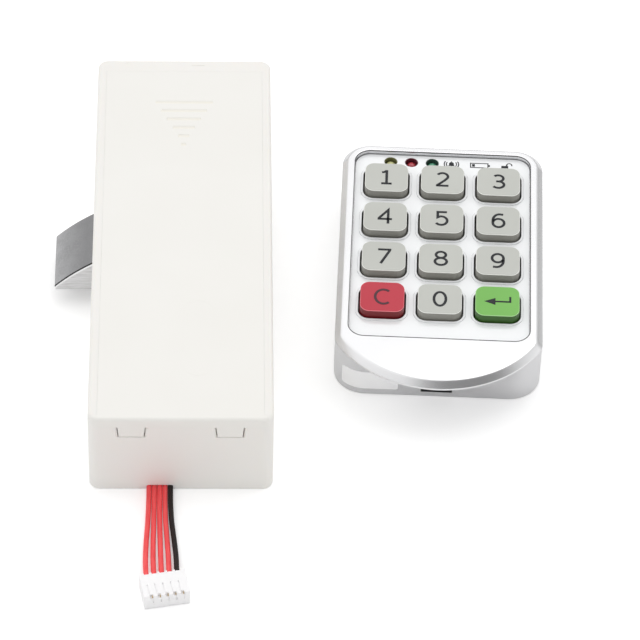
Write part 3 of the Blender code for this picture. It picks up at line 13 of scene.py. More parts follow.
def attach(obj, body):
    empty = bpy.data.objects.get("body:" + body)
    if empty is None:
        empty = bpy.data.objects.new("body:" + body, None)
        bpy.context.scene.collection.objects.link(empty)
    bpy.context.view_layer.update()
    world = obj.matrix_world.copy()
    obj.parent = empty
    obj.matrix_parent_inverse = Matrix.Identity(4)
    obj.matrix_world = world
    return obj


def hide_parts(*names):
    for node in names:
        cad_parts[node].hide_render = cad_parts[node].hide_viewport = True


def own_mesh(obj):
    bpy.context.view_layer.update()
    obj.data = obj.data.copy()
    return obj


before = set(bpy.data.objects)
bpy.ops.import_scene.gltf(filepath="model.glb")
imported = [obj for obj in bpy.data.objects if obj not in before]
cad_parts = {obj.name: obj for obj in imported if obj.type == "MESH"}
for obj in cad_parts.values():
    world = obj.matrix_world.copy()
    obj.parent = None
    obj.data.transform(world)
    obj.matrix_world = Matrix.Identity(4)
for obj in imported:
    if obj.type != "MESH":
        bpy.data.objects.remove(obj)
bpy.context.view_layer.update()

MILLIMETRE = 0.001
ROOT = "lock_and_keypad"
PAD_PLACE, PAD_TURN = (0.06785, -0.035, 0), math.radians(-2.93)
PAD_FRAME = Matrix.Translation(PAD_PLACE) @ Matrix.Rotation(PAD_TURN, 4, "Z")
LOCK_FRAME = Matrix.Identity(4)
SHADE_ANGLE = math.radians(35.0)
SCENE = bpy.context.scene

# The photograph's viewpoint, in metres
CAMERA_SPOT = Vector((0.008277, -0.811385, 0.819641))
CAMERA_AIM = Vector((0.037279, -0.006448, 0.0))
CAMERA_ROLL, CAMERA_LENS = math.radians(1.6866), 237.894

# Clearances between pieces, in millimetres, and how far a cutter reaches past what it cuts
GAP, SEAM, PLATE_SEAM, OVERRUN = 0.3, 0.018, 0.2, 1.0

# Latch body, in millimetres
HALF_WIDTH, HALF_LENGTH, LOCK_HEIGHT, FAR_EXTRA = 24.0, 68.5, 26.4, 0.9
LOCK_CORNER, LOCK_EDGE = 2.8, 1.0
INNER_X, INNER_Y = 21.8, 66.5
COVER_HALF, COVER_FAR, COVER_LOW = 21.3, 64.2, 24.8
RUNNER_LOW, SEAM_LOW, FLANGE_THICK = 23.7, 23.4, 1.7
TONGUE_PLACE, TONGUE_TOP, TONGUE_TIP, TONGUE_DROP, TONGUE_THICK = 12.75, 3.65, 3.2, 3.4, 1.0
GROOVE_SHARES = (1.0, 0.79, 0.58, 0.37, 0.19, 0.08)
EDGE_MARKS = ((2.0, 5.6, 66.6, 67.1), (-16.5, -15.5, 67.5, 68.0))
CORNERS = ((-1, -1), (-1, 1), (1, -1), (1, 1))
SCREW_X, SCREW_Y, SCREW_FACE = 18.4, 63.1, 0.3
PLATE_SCREW_HEAD, PLATE_SCREW_TURNS = 2.3, (0.3, 1.0, 0.6, 1.3)
BOLT_LOW, BOLT_HIGH, BOLT_TIP, BOLT_BULGE = 5.0, 15.0, 0.95, 0.45
BOLT_NEAR, BOLT_FAR, BOLT_TIP_X = -0.35, 19.75, -34.8
STEM_Y, STEM_Z = 9.5, 10.2
COIL_START, COIL_LENGTH, COIL_RADIUS, COIL_WIRE, COIL_TURNS, COIL_KEPT = -17.19, 12.77, 3.1, 0.3, 8, 0.21
CELL_COUNT, CELL_NEAR, CELL_LENGTH, CELL_HEIGHT = 4, -63.3, 44.5, 17.93

# Keypad, in millimetres in its own frame
PAD_HALF, PAD_LENGTH, PAD_HEIGHT = 27.65, 80.4, 17.0
PAD_FAR_CORNER, PAD_NEAR_CORNER = 7.8, 8.5
LIP_REACH, LIP_START, LIP_BAND, LIP_CORNER, LIP_POINTS = 11.8, 4.7, 0.45, 5.0, 96
COVE_START, PAD_CHAMFER = 5.8, 1.7
LIP_LOW = PAD_HEIGHT - PAD_CHAMFER - LIP_BAND
LIP_RISE = LIP_REACH + LIP_START
LIP_RADIUS = (PAD_HALF ** 2 + LIP_RISE ** 2) / (2 * LIP_RISE)
LIP_CENTRE_Y = LIP_RADIUS - LIP_REACH
LIP_CORNER_X = PAD_HALF - LIP_CORNER
LIP_CORNER_Y = LIP_CENTRE_Y - math.sqrt((LIP_RADIUS - LIP_CORNER) ** 2 - LIP_CORNER_X ** 2)
POCKET_HALF, POCKET_NEAR, POCKET_FAR, POCKET_CORNER = 24.2, 5.3, 76.95, 4.3
PLATE_TOP, PLATE_LOW, DECK_TOP, DECK_LOW = 15.75, 14.75, 14.45, 12.85
RIM_HEIGHT, RIM_WIDTH, SHADE_BAND_REACH = 0.2, 0.62, 0.065
KEY_NAMES = ("clear", "0", "enter", "7", "8", "9", "4", "5", "6", "1", "2", "3")
KEY_WIDTH, KEY_DEPTH, KEY_PITCH_X, KEY_PITCH_Y, KEY_FIRST_Y = 12.0, 11.2, 15.4, 15.4375, 18.7
KEY_TOP, KEY_CORNER, KEY_SLOT, KEY_FLANGE, KEY_ROUND, KEY_DRAFT = 18.4, 2.6, 0.38, 0.5, 0.24, 0.1
MAT_LOW, MAT_TOP, DOME_TOP, DOME_KEPT = 7.95, 8.95, 10.85, 0.5
LED_Y, LED_PLACES, LED_HOLE = 74.05, (-14.38, -8.64, -2.90), 1.8
POST_X, POST_NEAR, POST_FAR = 20.5, 8.9, 75.85
INSERT_POSTS = ((POST_X, POST_NEAR), (-POST_X, POST_FAR))
SCREW_POSTS = ((-POST_X, POST_NEAR), (POST_X, POST_FAR))
PAD_SCREW_HEAD, PAD_SCREW_TURNS = 1.9, (0.4, 1.1)
STROKE, SIGN_SCALE, INK_LOW, INK_TOP = 0.74, 1.06, -0.25, 0.02
SIGN_Y, SIGN_LINE, SIGN_LOW = 73.8, 0.3, -0.2
FILM_LEFT, FILM_RIGHT, FILM_LOW, FILM_HIGH, FILM_THICK = -25.3, -10.3, 2.2, 8.6, 0.06

# The cable's route, in metres: x of the middle wire, y from the near end, z, wire spacing, share of the turn
CABLE_ROUTE = (
    (-0.00550, 0.0120, 0.00520, 0.00200, 0.00),
    (-0.00550, 0.0104, 0.00512, 0.00180, 0.00),
    (-0.00550, 0.0080, 0.00420, 0.00155, 0.00),
    (-0.00550, 0.0058, 0.00235, 0.00142, 0.00),
    (-0.00550, 0.0034, 0.00105, 0.00140, 0.00),
    (-0.00550, 0.0010, 0.00081, 0.00140, 0.00),
    (-0.00550, -0.0012, 0.00077, 0.00140, 0.00),
    (-0.00548, -0.0060, 0.00075, 0.00143, 0.05),
    (-0.00538, -0.0122, 0.00075, 0.00155, 0.20),
    (-0.00520, -0.0186, 0.00080, 0.00180, 0.45),
    (-0.00498, -0.0249, 0.00124, 0.00198, 0.75),
    (-0.00480, -0.0296, 0.00195, 0.00200, 1.00),
    (-0.00465, -0.0320, 0.00230, 0.00200, 1.00),
)
LOCK_NEAR_END = HALF_LENGTH * MILLIMETRE
WIRE_DIAMETER, WIRE_COUNT, WIRE_POINTS = 0.00138, 5, 36
CABLE_X, NOTCH_HALF, NOTCH_TOP = -5.5, 3.6, 1.56

# Plug, in millimetres in its own frame: its far face at y = 0, its foot on the floor
PLUG_TURN = math.radians(10.5)
PLUG_PLACE = (CABLE_ROUTE[-1][0], CABLE_ROUTE[-1][1] - LOCK_NEAR_END, 0)
PLUG_FRAME = Matrix.Translation(PLUG_PLACE) @ Matrix.Rotation(PLUG_TURN, 4, "Z")
PLUG_HALF, PLUG_LENGTH, PLUG_HEIGHT, PLUG_PITCH, PLUG_WIRE_Z = 6.0, 8.2, 4.6, 2.0, 2.3
MOUTH_HALF, MOUTH_LOW, MOUTH_DEPTH = 0.42, 3.8, 0.8

# Light: the floor's own glow and its fall in the metal, the room's bright and dark sides, and the lamp
FLOOR_LIFT, FAR_FLOOR_FALL = 0.30, 0.72
BRIGHT_SIDE = Vector((-0.38, 0.55, 0.73)).normalized()
DARK_SPOT = Vector((0.35, -0.62, 0.70)).normalized()
FRONT_SIDE = Vector((0.6, -0.8, 0.0)).normalized()
UPWARDS = Vector((0, 0, 1))
LEVEL, SLOPE, HORIZON_SHARE, DARK_SHARE, FRONT_LIGHT = 0.79, 0.42, 0.60, 0.30, 1.0
LAMP_SPOT, LAMP_AIM = Vector((0.55, 0.5, 1.65)), Vector((0.03, 0, 0))
LAMP_SIZE, LAMP_ENERGY = 1.6, 4.7


def place_camera():
    """The photograph's own viewpoint: its place, where it looks, its roll and its lens."""
    camera = bpy.data.cameras.new("photo_camera")
    camera.sensor_width = 36.0
    camera.lens = CAMERA_LENS
    camera.clip_start, camera.clip_end = 0.01, 50.0
    holder = bpy.data.objects.new("photo_camera", camera)
    SCENE.collection.objects.link(holder)
    back = (CAMERA_SPOT - CAMERA_AIM).normalized()
    right = UPWARDS.cross(back).normalized()
    up = back.cross(right)
    turn = Matrix((right, up, back)).transposed().to_4x4() @ Matrix.Rotation(CAMERA_ROLL, 4, "Z")
    holder.matrix_world = Matrix.Translation(CAMERA_SPOT) @ turn
    SCENE.camera = holder


place_camera()


# Materials
class Wiring:
    """A tree of nodes under way."""

    def __init__(self, tree):
        self.tree = tree

    def node(self, kind, **settings):
        node = self.tree.nodes.new(kind)
        for key, value in settings.items():
            setattr(node, key, value)
        return node

    def feed(self, socket, value):
        """Joins a socket to another one, or gives it a plain value."""
        if isinstance(value, bpy.types.NodeSocket):
            self.tree.links.new(value, socket)
        else:
            socket.default_value = value

    def maths(self, operation, *values):
        node = self.node("ShaderNodeMath", operation=operation)
        for socket, value in zip(node.inputs, values):
            self.feed(socket, value)
        return node.outputs[0]

    def span(self, value, low, high, start=0.0, end=1.0, steps="LINEAR"):
        """Maps a value from start..end to low..high."""
        ramp = self.node("ShaderNodeMapRange", interpolation_type=steps)
        for name, entry in (("Value", value), ("From Min", start), ("From Max", end), ("To Min", low),
                            ("To Max", high)):
            self.feed(ramp.inputs[name], entry)
        return ramp.outputs["Result"]

    def mix(self, share, first, second):
        """A colour between two."""
        node = self.node("ShaderNodeMix", data_type="RGBA")
        for name, entry in (("Factor", share), ("A", first), ("B", second)):
            self.feed(node.inputs[name], entry)
        return node.outputs["Result"]


class Finish(Wiring):
    """A material under way: its shader, and the object coordinates that its patterns read."""

    def __init__(self, name, colour, roughness, metallic=0.0, **sockets):
        self.material = bpy.data.materials.new(name)
        self.material.use_nodes = True
        super().__init__(self.material.node_tree)
        self.shader = self.tree.nodes["Principled BSDF"]
        self.colour, self.roughness = (*colour, 1.0), roughness
        self.set(base_color=self.colour, roughness=roughness, metallic=metallic, **sockets)
        self.place = self.node("ShaderNodeTexCoord").outputs["Object"]
        self.height = None

    def set(self, **sockets):
        """Sets the shader's sockets, each named in small letters with underscores."""
        names = {name.lower().replace(" ", "_"): name for name in self.shader.inputs.keys()}
        for key, value in sockets.items():
            self.shader.inputs[names[key]].default_value = value

    def parts(self, vector=None):
        """The three parts of a vector, by default of the place on the object."""
        node = self.node("ShaderNodeSeparateXYZ")
        self.feed(node.inputs["Vector"], vector or self.place)
        return node.outputs

    def noise(self, scale, detail=2.0, stretch=(1, 1, 1)):
        """A noise of so many cells to the metre, stretched along the object's axes."""
        mapping = self.node("ShaderNodeMapping")
        mapping.inputs["Scale"].default_value = stretch
        self.feed(mapping.inputs["Vector"], self.place)
        noise = self.node("ShaderNodeTexNoise")
        noise.inputs["Scale"].default_value = scale
        noise.inputs["Detail"].default_value = detail
        self.feed(noise.inputs["Vector"], mapping.outputs["Vector"])
        return noise.outputs["Fac"]

    def tint(self, value, other, start=0.0, end=1.0, amount=1.0):
        """Shades the base colour towards another one, as a value goes from start to end."""
        socket = self.shader.inputs["Base Color"]
        own = socket.links[0].from_socket if socket.is_linked else self.colour
        self.feed(socket, self.mix(self.span(value, 0.0, amount, start, end), own, (*other, 1.0)))

    def uneven(self, value, spread):
        """Lets the roughness vary by spread to either side."""
        self.feed(self.shader.inputs["Roughness"],
                  self.span(value, self.roughness - spread, self.roughness + spread))

    def relief(self, value, distance, strength=1.0):
        """Adds fine relief, its depth in metres."""
        bump = self.node("ShaderNodeBump")
        bump.inputs["Distance"].default_value = distance
        bump.inputs["Strength"].default_value = strength
        self.feed(bump.inputs["Height"], value)
        if self.height is not None:
            self.feed(bump.inputs["Normal"], self.height)
        self.height = bump.outputs["Normal"]
        self.feed(self.shader.inputs["Normal"], self.height)


def clouded(name, colour, roughness, other, clouds, ends=(0.35, 0.65), amount=1.0, spread=0.0, grain=None,
            depth=0.0, strength=1.0, **sockets):
    """A finish that one noise shades towards another colour, and roughens by spread to either side.

    Its relief, depth metres deep, follows the same noise, or a finer one, the grain. Both are given as
    scale, detail and stretch.
    """
    finish = Finish(name, colour, roughness, **sockets)
    slow = finish.noise(*clouds)
    finish.tint(slow, other, *ends, amount)
    if spread:
        finish.uneven(slow, spread)
    if depth:
        finish.relief(finish.noise(*grain) if grain else slow, depth, strength)
    return finish


def moulded(name, colour, roughness, other=None, grain=2600.0, depth=0.000012, **sockets):
    """Moulded plastic: a fine spark-eroded grain and a slow, slight change of shade."""
    return clouded(name, colour, roughness, other or tuple(0.965 * c for c in colour), (38.0,), spread=0.04,
                   grain=(grain, 3.0), depth=depth, **sockets)


def housing_plastic():
    """Warm white plastic of the latch body's shell."""
    return moulded("warm_white_plastic", (0.893, 0.876, 0.842), 0.44, (0.883, 0.863, 0.824),
                   subsurface_weight=0.06, subsurface_radius=(0.004, 0.003, 0.002),
                   subsurface_scale=0.3).material


def cover_plastic():
    """The battery cover's plastic, a little cooler than the shell's, with painted shade, darker and yellower,
    in its grip grooves.
    """
    finish = moulded("cover_white_plastic", (0.891, 0.878, 0.840), 0.44, (0.880, 0.866, 0.826))
    sunk, at_grip = (0.02639, 0.02620), (0.0300, 0.0305)
    place = finish.parts()
    groove = finish.maths("MULTIPLY", finish.span(place["Z"], 0.0, 1.0, *sunk),
                          finish.span(place["Y"], 0.0, 1.0, *at_grip))
    # Painted shade: the sunk floors of the grip grooves darker and yellower.
    finish.tint(groove, (0.885, 0.855, 0.780))
    return finish.material


def brushed_steel():
    """The bolt's ground steel: a speckled grey ramp with painted shade darker towards the housing, brushed
    ends painted lighter, painted highlights on the broken edges and a painted shadow line beside them.
    """
    finish = Finish("brushed_steel", (0.40, 0.40, 0.405), 0.40, 0.92)
    ramp_painted_shade, shadow_line_edge, line_width = (-0.0342, -0.0262), (BOLT_NEAR + 0.85) * MILLIMETRE, 0.00012
    clouds = finish.noise(260.0, 3.0)
    finish.tint(clouds, (0.53, 0.53, 0.54), 0.3, 0.7, 0.8)
    finish.tint(finish.noise(1900.0), (0.58, 0.58, 0.59), 0.45, 0.75, 0.6)
    place = finish.parts()
    facing = finish.parts(finish.node("ShaderNodeTexCoord").outputs["Normal"])
    ends = finish.maths("ABSOLUTE", facing["Y"])
    # Painted shade: the ramp darker towards the housing.
    finish.tint(place["X"], (0.235, 0.235, 0.240), *ramp_painted_shade, 0.8)
    # Painted shadow: a dark line on the ramp beside its broken edge.
    finish.tint(place["Y"], (0.01, 0.01, 0.01), shadow_line_edge + line_width, shadow_line_edge)
    # Painted highlight: the broken edges near white.
    finish.tint(ends, (0.98, 0.98, 0.98), 0.3, 0.4)
    # Painted light: the flat ends lighter than the ramp, under their real brush lines.
    finish.tint(ends, (0.80, 0.80, 0.81), 0.85, 0.95)
    brush = finish.noise(900.0, 4.0, (0.3, 1.0, 6.0))
    dull = finish.maths("MULTIPLY", finish.span(ends, 0.0, 1.0, 0.85, 0.95),
                        finish.span(brush, 0.0, 1.0, 0.45, 0.65))
    finish.tint(dull, (0.60, 0.60, 0.60), amount=0.8)
    finish.uneven(brush, 0.1)
    finish.relief(brush, 0.00002, 0.6)
    finish.relief(clouds, 0.00004, 0.4)
    return finish.material


def plain_steel():
    """Rolled steel sheet and plated screws."""
    return clouded("plated_steel", (0.62, 0.62, 0.60), 0.34, (0.52, 0.52, 0.49), (420.0, 3.0), (0.35, 0.7),
                   spread=0.1, grain=(1500.0, 2.0, (1, 8, 1)), depth=0.000008, strength=0.6,
                   metallic=1.0).material


def satin_zinc():
    """Satin chrome on the keypad's zinc shell: a bright grey with a very fine blasted texture."""
    return clouded("satin_zinc", (0.81, 0.81, 0.82), 0.24, (0.785, 0.785, 0.795), (55.0,), spread=0.03,
                   grain=(3600.0,), depth=0.000006, strength=0.5, metallic=0.95).material


def face_white():
    """The keypad's glossy face sheet."""
    return clouded("glossy_face_white", (0.972, 0.985, 0.995), 0.16, (0.964, 0.978, 0.99), (45.0,),
                   spread=0.03, grain=(500.0,), depth=0.000006, strength=0.4, specular_ior_level=1.0,
                   coat_weight=1.0, coat_roughness=0.08).material


def key_plastic(name, colour, other, flank_shade, rim_highlight):
    """Matt key plastic, with a painted highlight along the top's rim and painted shade on its flanks."""
    finish = moulded(name, colour, 0.40, other, 3200.0, 0.00001)
    rim, highlight_low, highlight_high, blend = (KEY_TOP - KEY_ROUND) * MILLIMETRE, 0.00013, 0.00017, 0.00004
    height = finish.parts()["Z"]
    # Painted highlight: a lighter band on the rounded edge just under the top.
    finish.tint(height, rim_highlight, rim + highlight_high, rim + highlight_low)
    # Painted shade: the flanks below the rim darker.
    finish.tint(height, flank_shade, rim + blend, rim - blend)
    return finish.material


def print_ink(name, colour, specked):
    """Dark ink of the digits and the small signs."""
    return clouded(name, colour, 0.5, specked, (2400.0,), (0.45, 0.8), depth=0.000005, strength=0.5,
                   specular_ior_level=0.3).material


def wire_sleeve(name, colour, other, roughness, shine=0.5):
    """Extruded wire insulation: slight drag lines along it, in the colour's own shades."""
    return clouded(name, colour, roughness, other, (700.0, 2.0, (3.0, 0.25, 3.0)), spread=0.05, depth=0.00001,
                   strength=0.4, specular_ior_level=shine).material


def milky_nylon():
    """Milky, half clear nylon of the plug and its socket."""
    return clouded("milky_nylon", (0.985, 0.98, 0.985), 0.34, (0.975, 0.965, 0.975), (300.0,), (0.3, 0.7),
                   grain=(2200.0,), depth=0.000008, strength=0.5, subsurface_weight=0.25,
                   subsurface_radius=(1.0, 1.0, 1.0), subsurface_scale=0.0015, ior=1.5).material


def yellow_brass():
    """Brass of the pinion, the inserts and the plug's contacts."""
    return clouded("brass", (0.72, 0.53, 0.26), 0.3, (0.55, 0.38, 0.17), (700.0, 3.0), (0.35, 0.7),
                   spread=0.08, metallic=1.0).material


def circuit_lacquer():
    """Green lacquer of the boards, paler over the copper."""
    return clouded("green_circuit_lacquer", (0.02, 0.15, 0.06), 0.35, (0.04, 0.23, 0.10),
                   (420.0, 1.0, (4, 0.6, 1)), (0.5, 0.56), 0.8, depth=0.00002, strength=0.5).material


def cell_sleeve():
    """The cells' shrink sleeve: graphite grey with fine stretch lines."""
    return clouded("graphite_sleeve", (0.10, 0.105, 0.115), 0.28, (0.14, 0.145, 0.155),
                   (500.0, 2.0, (6.0, 0.2, 6.0)), (0.4, 0.7), depth=0.00001, strength=0.5,
                   metallic=0.3).material


def label_film():
    """A bare white label film."""
    return clouded("label_film", (0.975, 0.975, 0.98), 0.38, (0.95, 0.95, 0.96), (140.0,), depth=0.00001,
                   strength=0.4).material


def lamp_epoxy(name, colour, deep):
    """Tinted lamp epoxy, darker in depth."""
    return clouded(f"{name}_lamp_epoxy", colour, 0.12, deep, (900.0,), (0.0, 1.0), 0.5,
                   transmission_weight=0.15, coat_weight=0.5, coat_roughness=0.05).material


def painted_lamp_light(name, colour):
    """The wall of a lamp's opening, with the lamp's light painted on it as its tint."""
    return moulded(f"{name}_painted_lamp_light", colour, 0.35).material


HOUSING = housing_plastic()
COVER = cover_plastic()
BOLT_STEEL = brushed_steel()
STEEL = plain_steel()
ZINC = satin_zinc()
FACE = face_white()
INK = print_ink("dark_print", (0.014, 0.015, 0.018), (0.035, 0.037, 0.042))
RED_KEY_INK = print_ink("dark_print_on_red", (0.075, 0.028, 0.038), (0.11, 0.038, 0.05))
NYLON = milky_nylon()
BRASS = yellow_brass()
BOARD = circuit_lacquer()
BLACK = moulded("black_plastic", (0.022, 0.022, 0.024), 0.5, (0.032, 0.032, 0.034)).material
ACETAL = moulded("acetal_plastic", (0.80, 0.80, 0.77), 0.38).material
SILICONE = moulded("silicone_rubber", (0.66, 0.66, 0.63), 0.6).material
SLEEVE = cell_sleeve()
FILM = label_film()
RED_WIRE = wire_sleeve("red_wire_sleeve", (0.98, 0.095, 0.10), (0.90, 0.06, 0.07), 0.36)
BLACK_WIRE = wire_sleeve("black_wire_sleeve", (0.012, 0.007, 0.006), (0.020, 0.012, 0.011), 0.5, 0.25)
# Each key: its colour, its mottle, the painted shade of its flanks and the painted highlight along its rim
GREY_KEY = key_plastic("key_grey_plastic", (0.556, 0.566, 0.526), (0.532, 0.540, 0.502), (0.29, 0.285, 0.255),
                       (0.95, 0.96, 0.91))
RED_KEY = key_plastic("key_red_plastic", (0.550, 0.026, 0.052), (0.515, 0.021, 0.045), (0.20, 0.008, 0.012),
                      (0.90, 0.24, 0.28))
GREEN_KEY = key_plastic("key_green_plastic", (0.192, 0.508, 0.096), (0.179, 0.479, 0.087),
                        (0.045, 0.13, 0.02), (0.50, 0.86, 0.38))
# Each lamp's colour, its colour in depth, and the lamp's light painted on its opening's wall
LAMP_COLOURS = {
    "yellow": ((0.72, 0.72, 0.34), (0.50, 0.51, 0.21), (0.22, 0.22, 0.10)),
    "red": ((0.62, 0.06, 0.085), (0.38, 0.03, 0.045), (0.17, 0.03, 0.05)),
    "green": ((0.14, 0.46, 0.29), (0.07, 0.28, 0.17), (0.06, 0.11, 0.09)),
}
LAMP_LOOKS = {name: lamp_epoxy(name, colour, deep) for name, (colour, deep, _) in LAMP_COLOURS.items()}
LAMP_LIGHT_WALLS = {name: painted_lamp_light(name, wall) for name, (_, _, wall) in LAMP_COLOURS.items()}


# Drawing
def arc(centre, radius, start, end, steps):
    """Points on an arc, its angles in degrees."""
    return oval(centre, radius, radius, start, end, steps)


def oval(centre, half_x, half_y, start, end, steps=28):
    """Points on a part of an ellipse, its angles in degrees."""
    angles = [math.radians(start + (end - start) * i / steps) for i in range(steps + 1)]
    return [(centre[0] + half_x * math.cos(a), centre[1] + half_y * math.sin(a)) for a in angles]


def circle(radius, steps=48, centre=(0, 0)):
    return arc(centre, radius, 0, 360, steps)[:-1]


def rounded(half_x, half_y, radius, steps=10, centre=(0, 0)):
    """A rectangle with round corners."""
    x, y = half_x - radius, half_y - radius
    points = []
    for start, side, end in ((0, 1, 1), (90, -1, 1), (180, -1, -1), (270, 1, -1)):
        points += arc((centre[0] + side * x, centre[1] + end * y), radius, start, start + 90, steps)
    return points


def loft(rings, closed=False):
    """A skin over rings of equally many points (x, y, z), with flat ends or joined end to end."""
    shape = bmesh.new()
    rows = [[shape.verts.new(point) for point in ring] for ring in rings]
    count = len(rows[0])
    pairs = list(zip(rows, rows[1:])) + ([(rows[-1], rows[0])] if closed else [])
    for lower, upper in pairs:
        for i in range(count):
            j = (i + 1) % count
            shape.faces.new((lower[i], lower[j], upper[j], upper[i]))
    if not closed:
        shape.faces.new(list(reversed(rows[0])))
        shape.faces.new(rows[-1])
    bmesh.ops.recalc_face_normals(shape, faces=shape.faces)
    return shape


def raised(outline, z):
    return [(x, y, z) for x, y in outline]


def slab(outline, low, high):
    return loft([raised(outline, low), raised(outline, high)])


def wall_between(outer, inner, low, high):
    """An upright wall between two outlines."""
    rings = [raised(outer, low), raised(outer, high), raised(inner, high), raised(inner, low)]
    return loft(rings, closed=True)


def box(low, high):
    (x0, y0, z0), (x1, y1, z1) = low, high
    return slab([(x0, y0), (x1, y0), (x1, y1), (x0, y1)], z0, z1)


def upright(outline, near, far):
    """An outline seen from the near end, (x, z), drawn out along Y."""
    return loft([[(x, near, z) for x, z in outline], [(x, far, z) for x, z in outline]])


def turned(profile, steps=48, axis="Z", centre=(0, 0, 0)):
    """A solid of revolution from (radius, height) points that start and end off the axis."""
    rings = []
    for radius, height in profile:
        ring = []
        for a, b in circle(radius, steps):
            point = {"X": (height, a, b), "Y": (b, height, a), "Z": (a, b, height)}[axis]
            ring.append(tuple(p + c for p, c in zip(point, centre)))
        rings.append(ring)
    return loft(rings)


def rod(radius, low, high, steps, place):
    """An upright round bar at (x, y)."""
    return turned(((radius, low), (radius, high)), steps, "Z", (*place, 0))


def placed(shape, x, y, z=0.0):
    bmesh.ops.translate(shape, vec=(x, y, z), verts=shape.verts)
    return shape


def merged(*shapes):
    """Separate shapes put into one."""
    whole = bmesh.new()
    for shape in shapes:
        mesh = bpy.data.meshes.new("merged")
        shape.to_mesh(mesh)
        shape.free()
        whole.from_mesh(mesh)
        bpy.data.meshes.remove(mesh)
    return whole


def helper(shape, name="helper"):
    """A shape as an object, until it is evaluated or discarded."""
    mesh = bpy.data.meshes.new(name)
    shape.to_mesh(mesh)
    shape.free()
    item = bpy.data.objects.new(name, mesh)
    SCENE.collection.objects.link(item)
    return item


def discard(item):
    data = item.data
    bpy.data.objects.remove(item)
    if data.users == 0:
        bpy.data.meshes.remove(data)


def evaluated(item):
    """The shape of a helper with its modifiers applied; the helper is removed."""
    graph = bpy.context.evaluated_depsgraph_get()
    mesh = bpy.data.meshes.new_from_object(item.evaluated_get(graph))
    shape = bmesh.new()
    shape.from_mesh(mesh)
    bpy.data.meshes.remove(mesh)
    discard(item)
    return shape


def less(*shapes):
    return [("DIFFERENCE", shape) for shape in shapes]


def plus(*shapes):
    return [("UNION", shape) for shape in shapes]


def combine(base, *steps):
    """Applies Boolean steps, each an operation and a shape, one after another."""
    item = helper(base)
    tools = []
    for operation, shape in steps:
        tool = helper(shape)
        tools.append(tool)
        modifier = item.modifiers.new("step", "BOOLEAN")
        modifier.operation, modifier.solver, modifier.object = operation, "EXACT", tool
    shape = evaluated(item)
    for tool in tools:
        discard(tool)
    return shape


def eased(shape, width, segments=2, angle=30.0):
    """Rounds every edge sharper than the angle."""
    item = helper(shape)
    modifier = item.modifiers.new("edges", "BEVEL")
    modifier.width, modifier.segments, modifier.limit_method = width, segments, "ANGLE"
    modifier.angle_limit = math.radians(angle)
    modifier.harden_normals = False
    return evaluated(item)


def piece(name, shape, material, body=ROOT, nodes=(), own_frame=LOCK_FRAME):
    """Turns a shape in millimetres into a finished piece that rides on a body."""
    bmesh.ops.transform(shape, matrix=own_frame @ Matrix.Scale(MILLIMETRE, 4), verts=shape.verts)
    item = helper(shape, name)
    drawn = item.data
    drawn.materials.append(material)
    drawn.shade_smooth()
    drawn.set_sharp_from_angle(angle=SHADE_ANGLE)
    modifier = item.modifiers.new("even_normals", "WEIGHTED_NORMAL")
    modifier.keep_sharp = True
    graph = bpy.context.evaluated_depsgraph_get()
    smooth = bpy.data.meshes.new_from_object(item.evaluated_get(graph))
    smooth.name = name
    item.modifiers.remove(modifier)
    item.data = smooth
    bpy.data.meshes.remove(drawn)
    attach(item, body)
    if nodes:
        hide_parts(*nodes)
    return item


def pad_piece(name, shape, material, nodes=(), body=ROOT):
    """A piece drawn in the keypad's own frame."""
    return piece(name, shape, material, body, nodes, PAD_FRAME)


def dress(material, *nodes):
    """Gives solids that keep their own shape a finished material."""
    for name in nodes:
        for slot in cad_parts[name].material_slots:
            slot.material = material


# Repeated things
def repeat_tree():
    """A node tree that puts a shape on every point of a mesh, stretched and turned by point attributes."""
    tree = bpy.data.node_groups.new("repeat_on_points", "GeometryNodeTree")
    for name, kind in (("Places", "Geometry"), ("Shape", "Object"), ("Finish", "Material")):
        tree.interface.new_socket(name, in_out="INPUT", socket_type=f"NodeSocket{kind}")
    tree.interface.new_socket("Pieces", in_out="OUTPUT", socket_type="NodeSocketGeometry")
    new, join = tree.nodes.new, tree.links.new
    given, result = new("NodeGroupInput"), new("NodeGroupOutput")
    source = new("GeometryNodeObjectInfo")
    join(given.outputs["Shape"], source.inputs["Object"])
    put = new("GeometryNodeInstanceOnPoints")
    join(given.outputs["Places"], put.inputs["Points"])
    join(source.outputs["Geometry"], put.inputs["Instance"])
    for attribute, socket in (("stretch", "Scale"), ("turn", "Rotation")):
        named = new("GeometryNodeInputNamedAttribute")
        named.data_type = "FLOAT_VECTOR"
        named.inputs["Name"].default_value = attribute
        join(named.outputs["Attribute"], put.inputs[socket])
    real, finish = new("GeometryNodeRealizeInstances"), new("GeometryNodeSetMaterial")
    join(put.outputs["Instances"], real.inputs["Geometry"])
    join(real.outputs["Geometry"], finish.inputs["Geometry"])
    join(given.outputs["Finish"], finish.inputs["Material"])
    join(finish.outputs["Geometry"], result.inputs["Pieces"])
    return tree


REPEAT = repeat_tree()


def repeated(shape, places, material, stretches=None, turns=None):
    """Copies of a shape on places, by the repeating tree, as one plain shape."""
    points = bpy.data.meshes.new("places")
    points.from_pydata(places, [], [])
    for name, values, default in (("stretch", stretches, (1, 1, 1)), ("turn", turns, (0, 0, 0))):
        attribute = points.attributes.new(name, "FLOAT_VECTOR", "POINT")
        for i in range(len(places)):
            attribute.data[i].vector = values[i] if values else default
    holder = bpy.data.objects.new("places", points)
    SCENE.collection.objects.link(holder)
    given = {"Shape": helper(shape, "repeated_shape"), "Finish": material}
    modifier = holder.modifiers.new("repeat", "NODES")
    modifier.node_group = REPEAT
    for socket in REPEAT.interface.items_tree:
        if socket.name in given:
            modifier[socket.identifier] = given[socket.name]
    result = evaluated(holder)
    discard(given["Shape"])
    return result


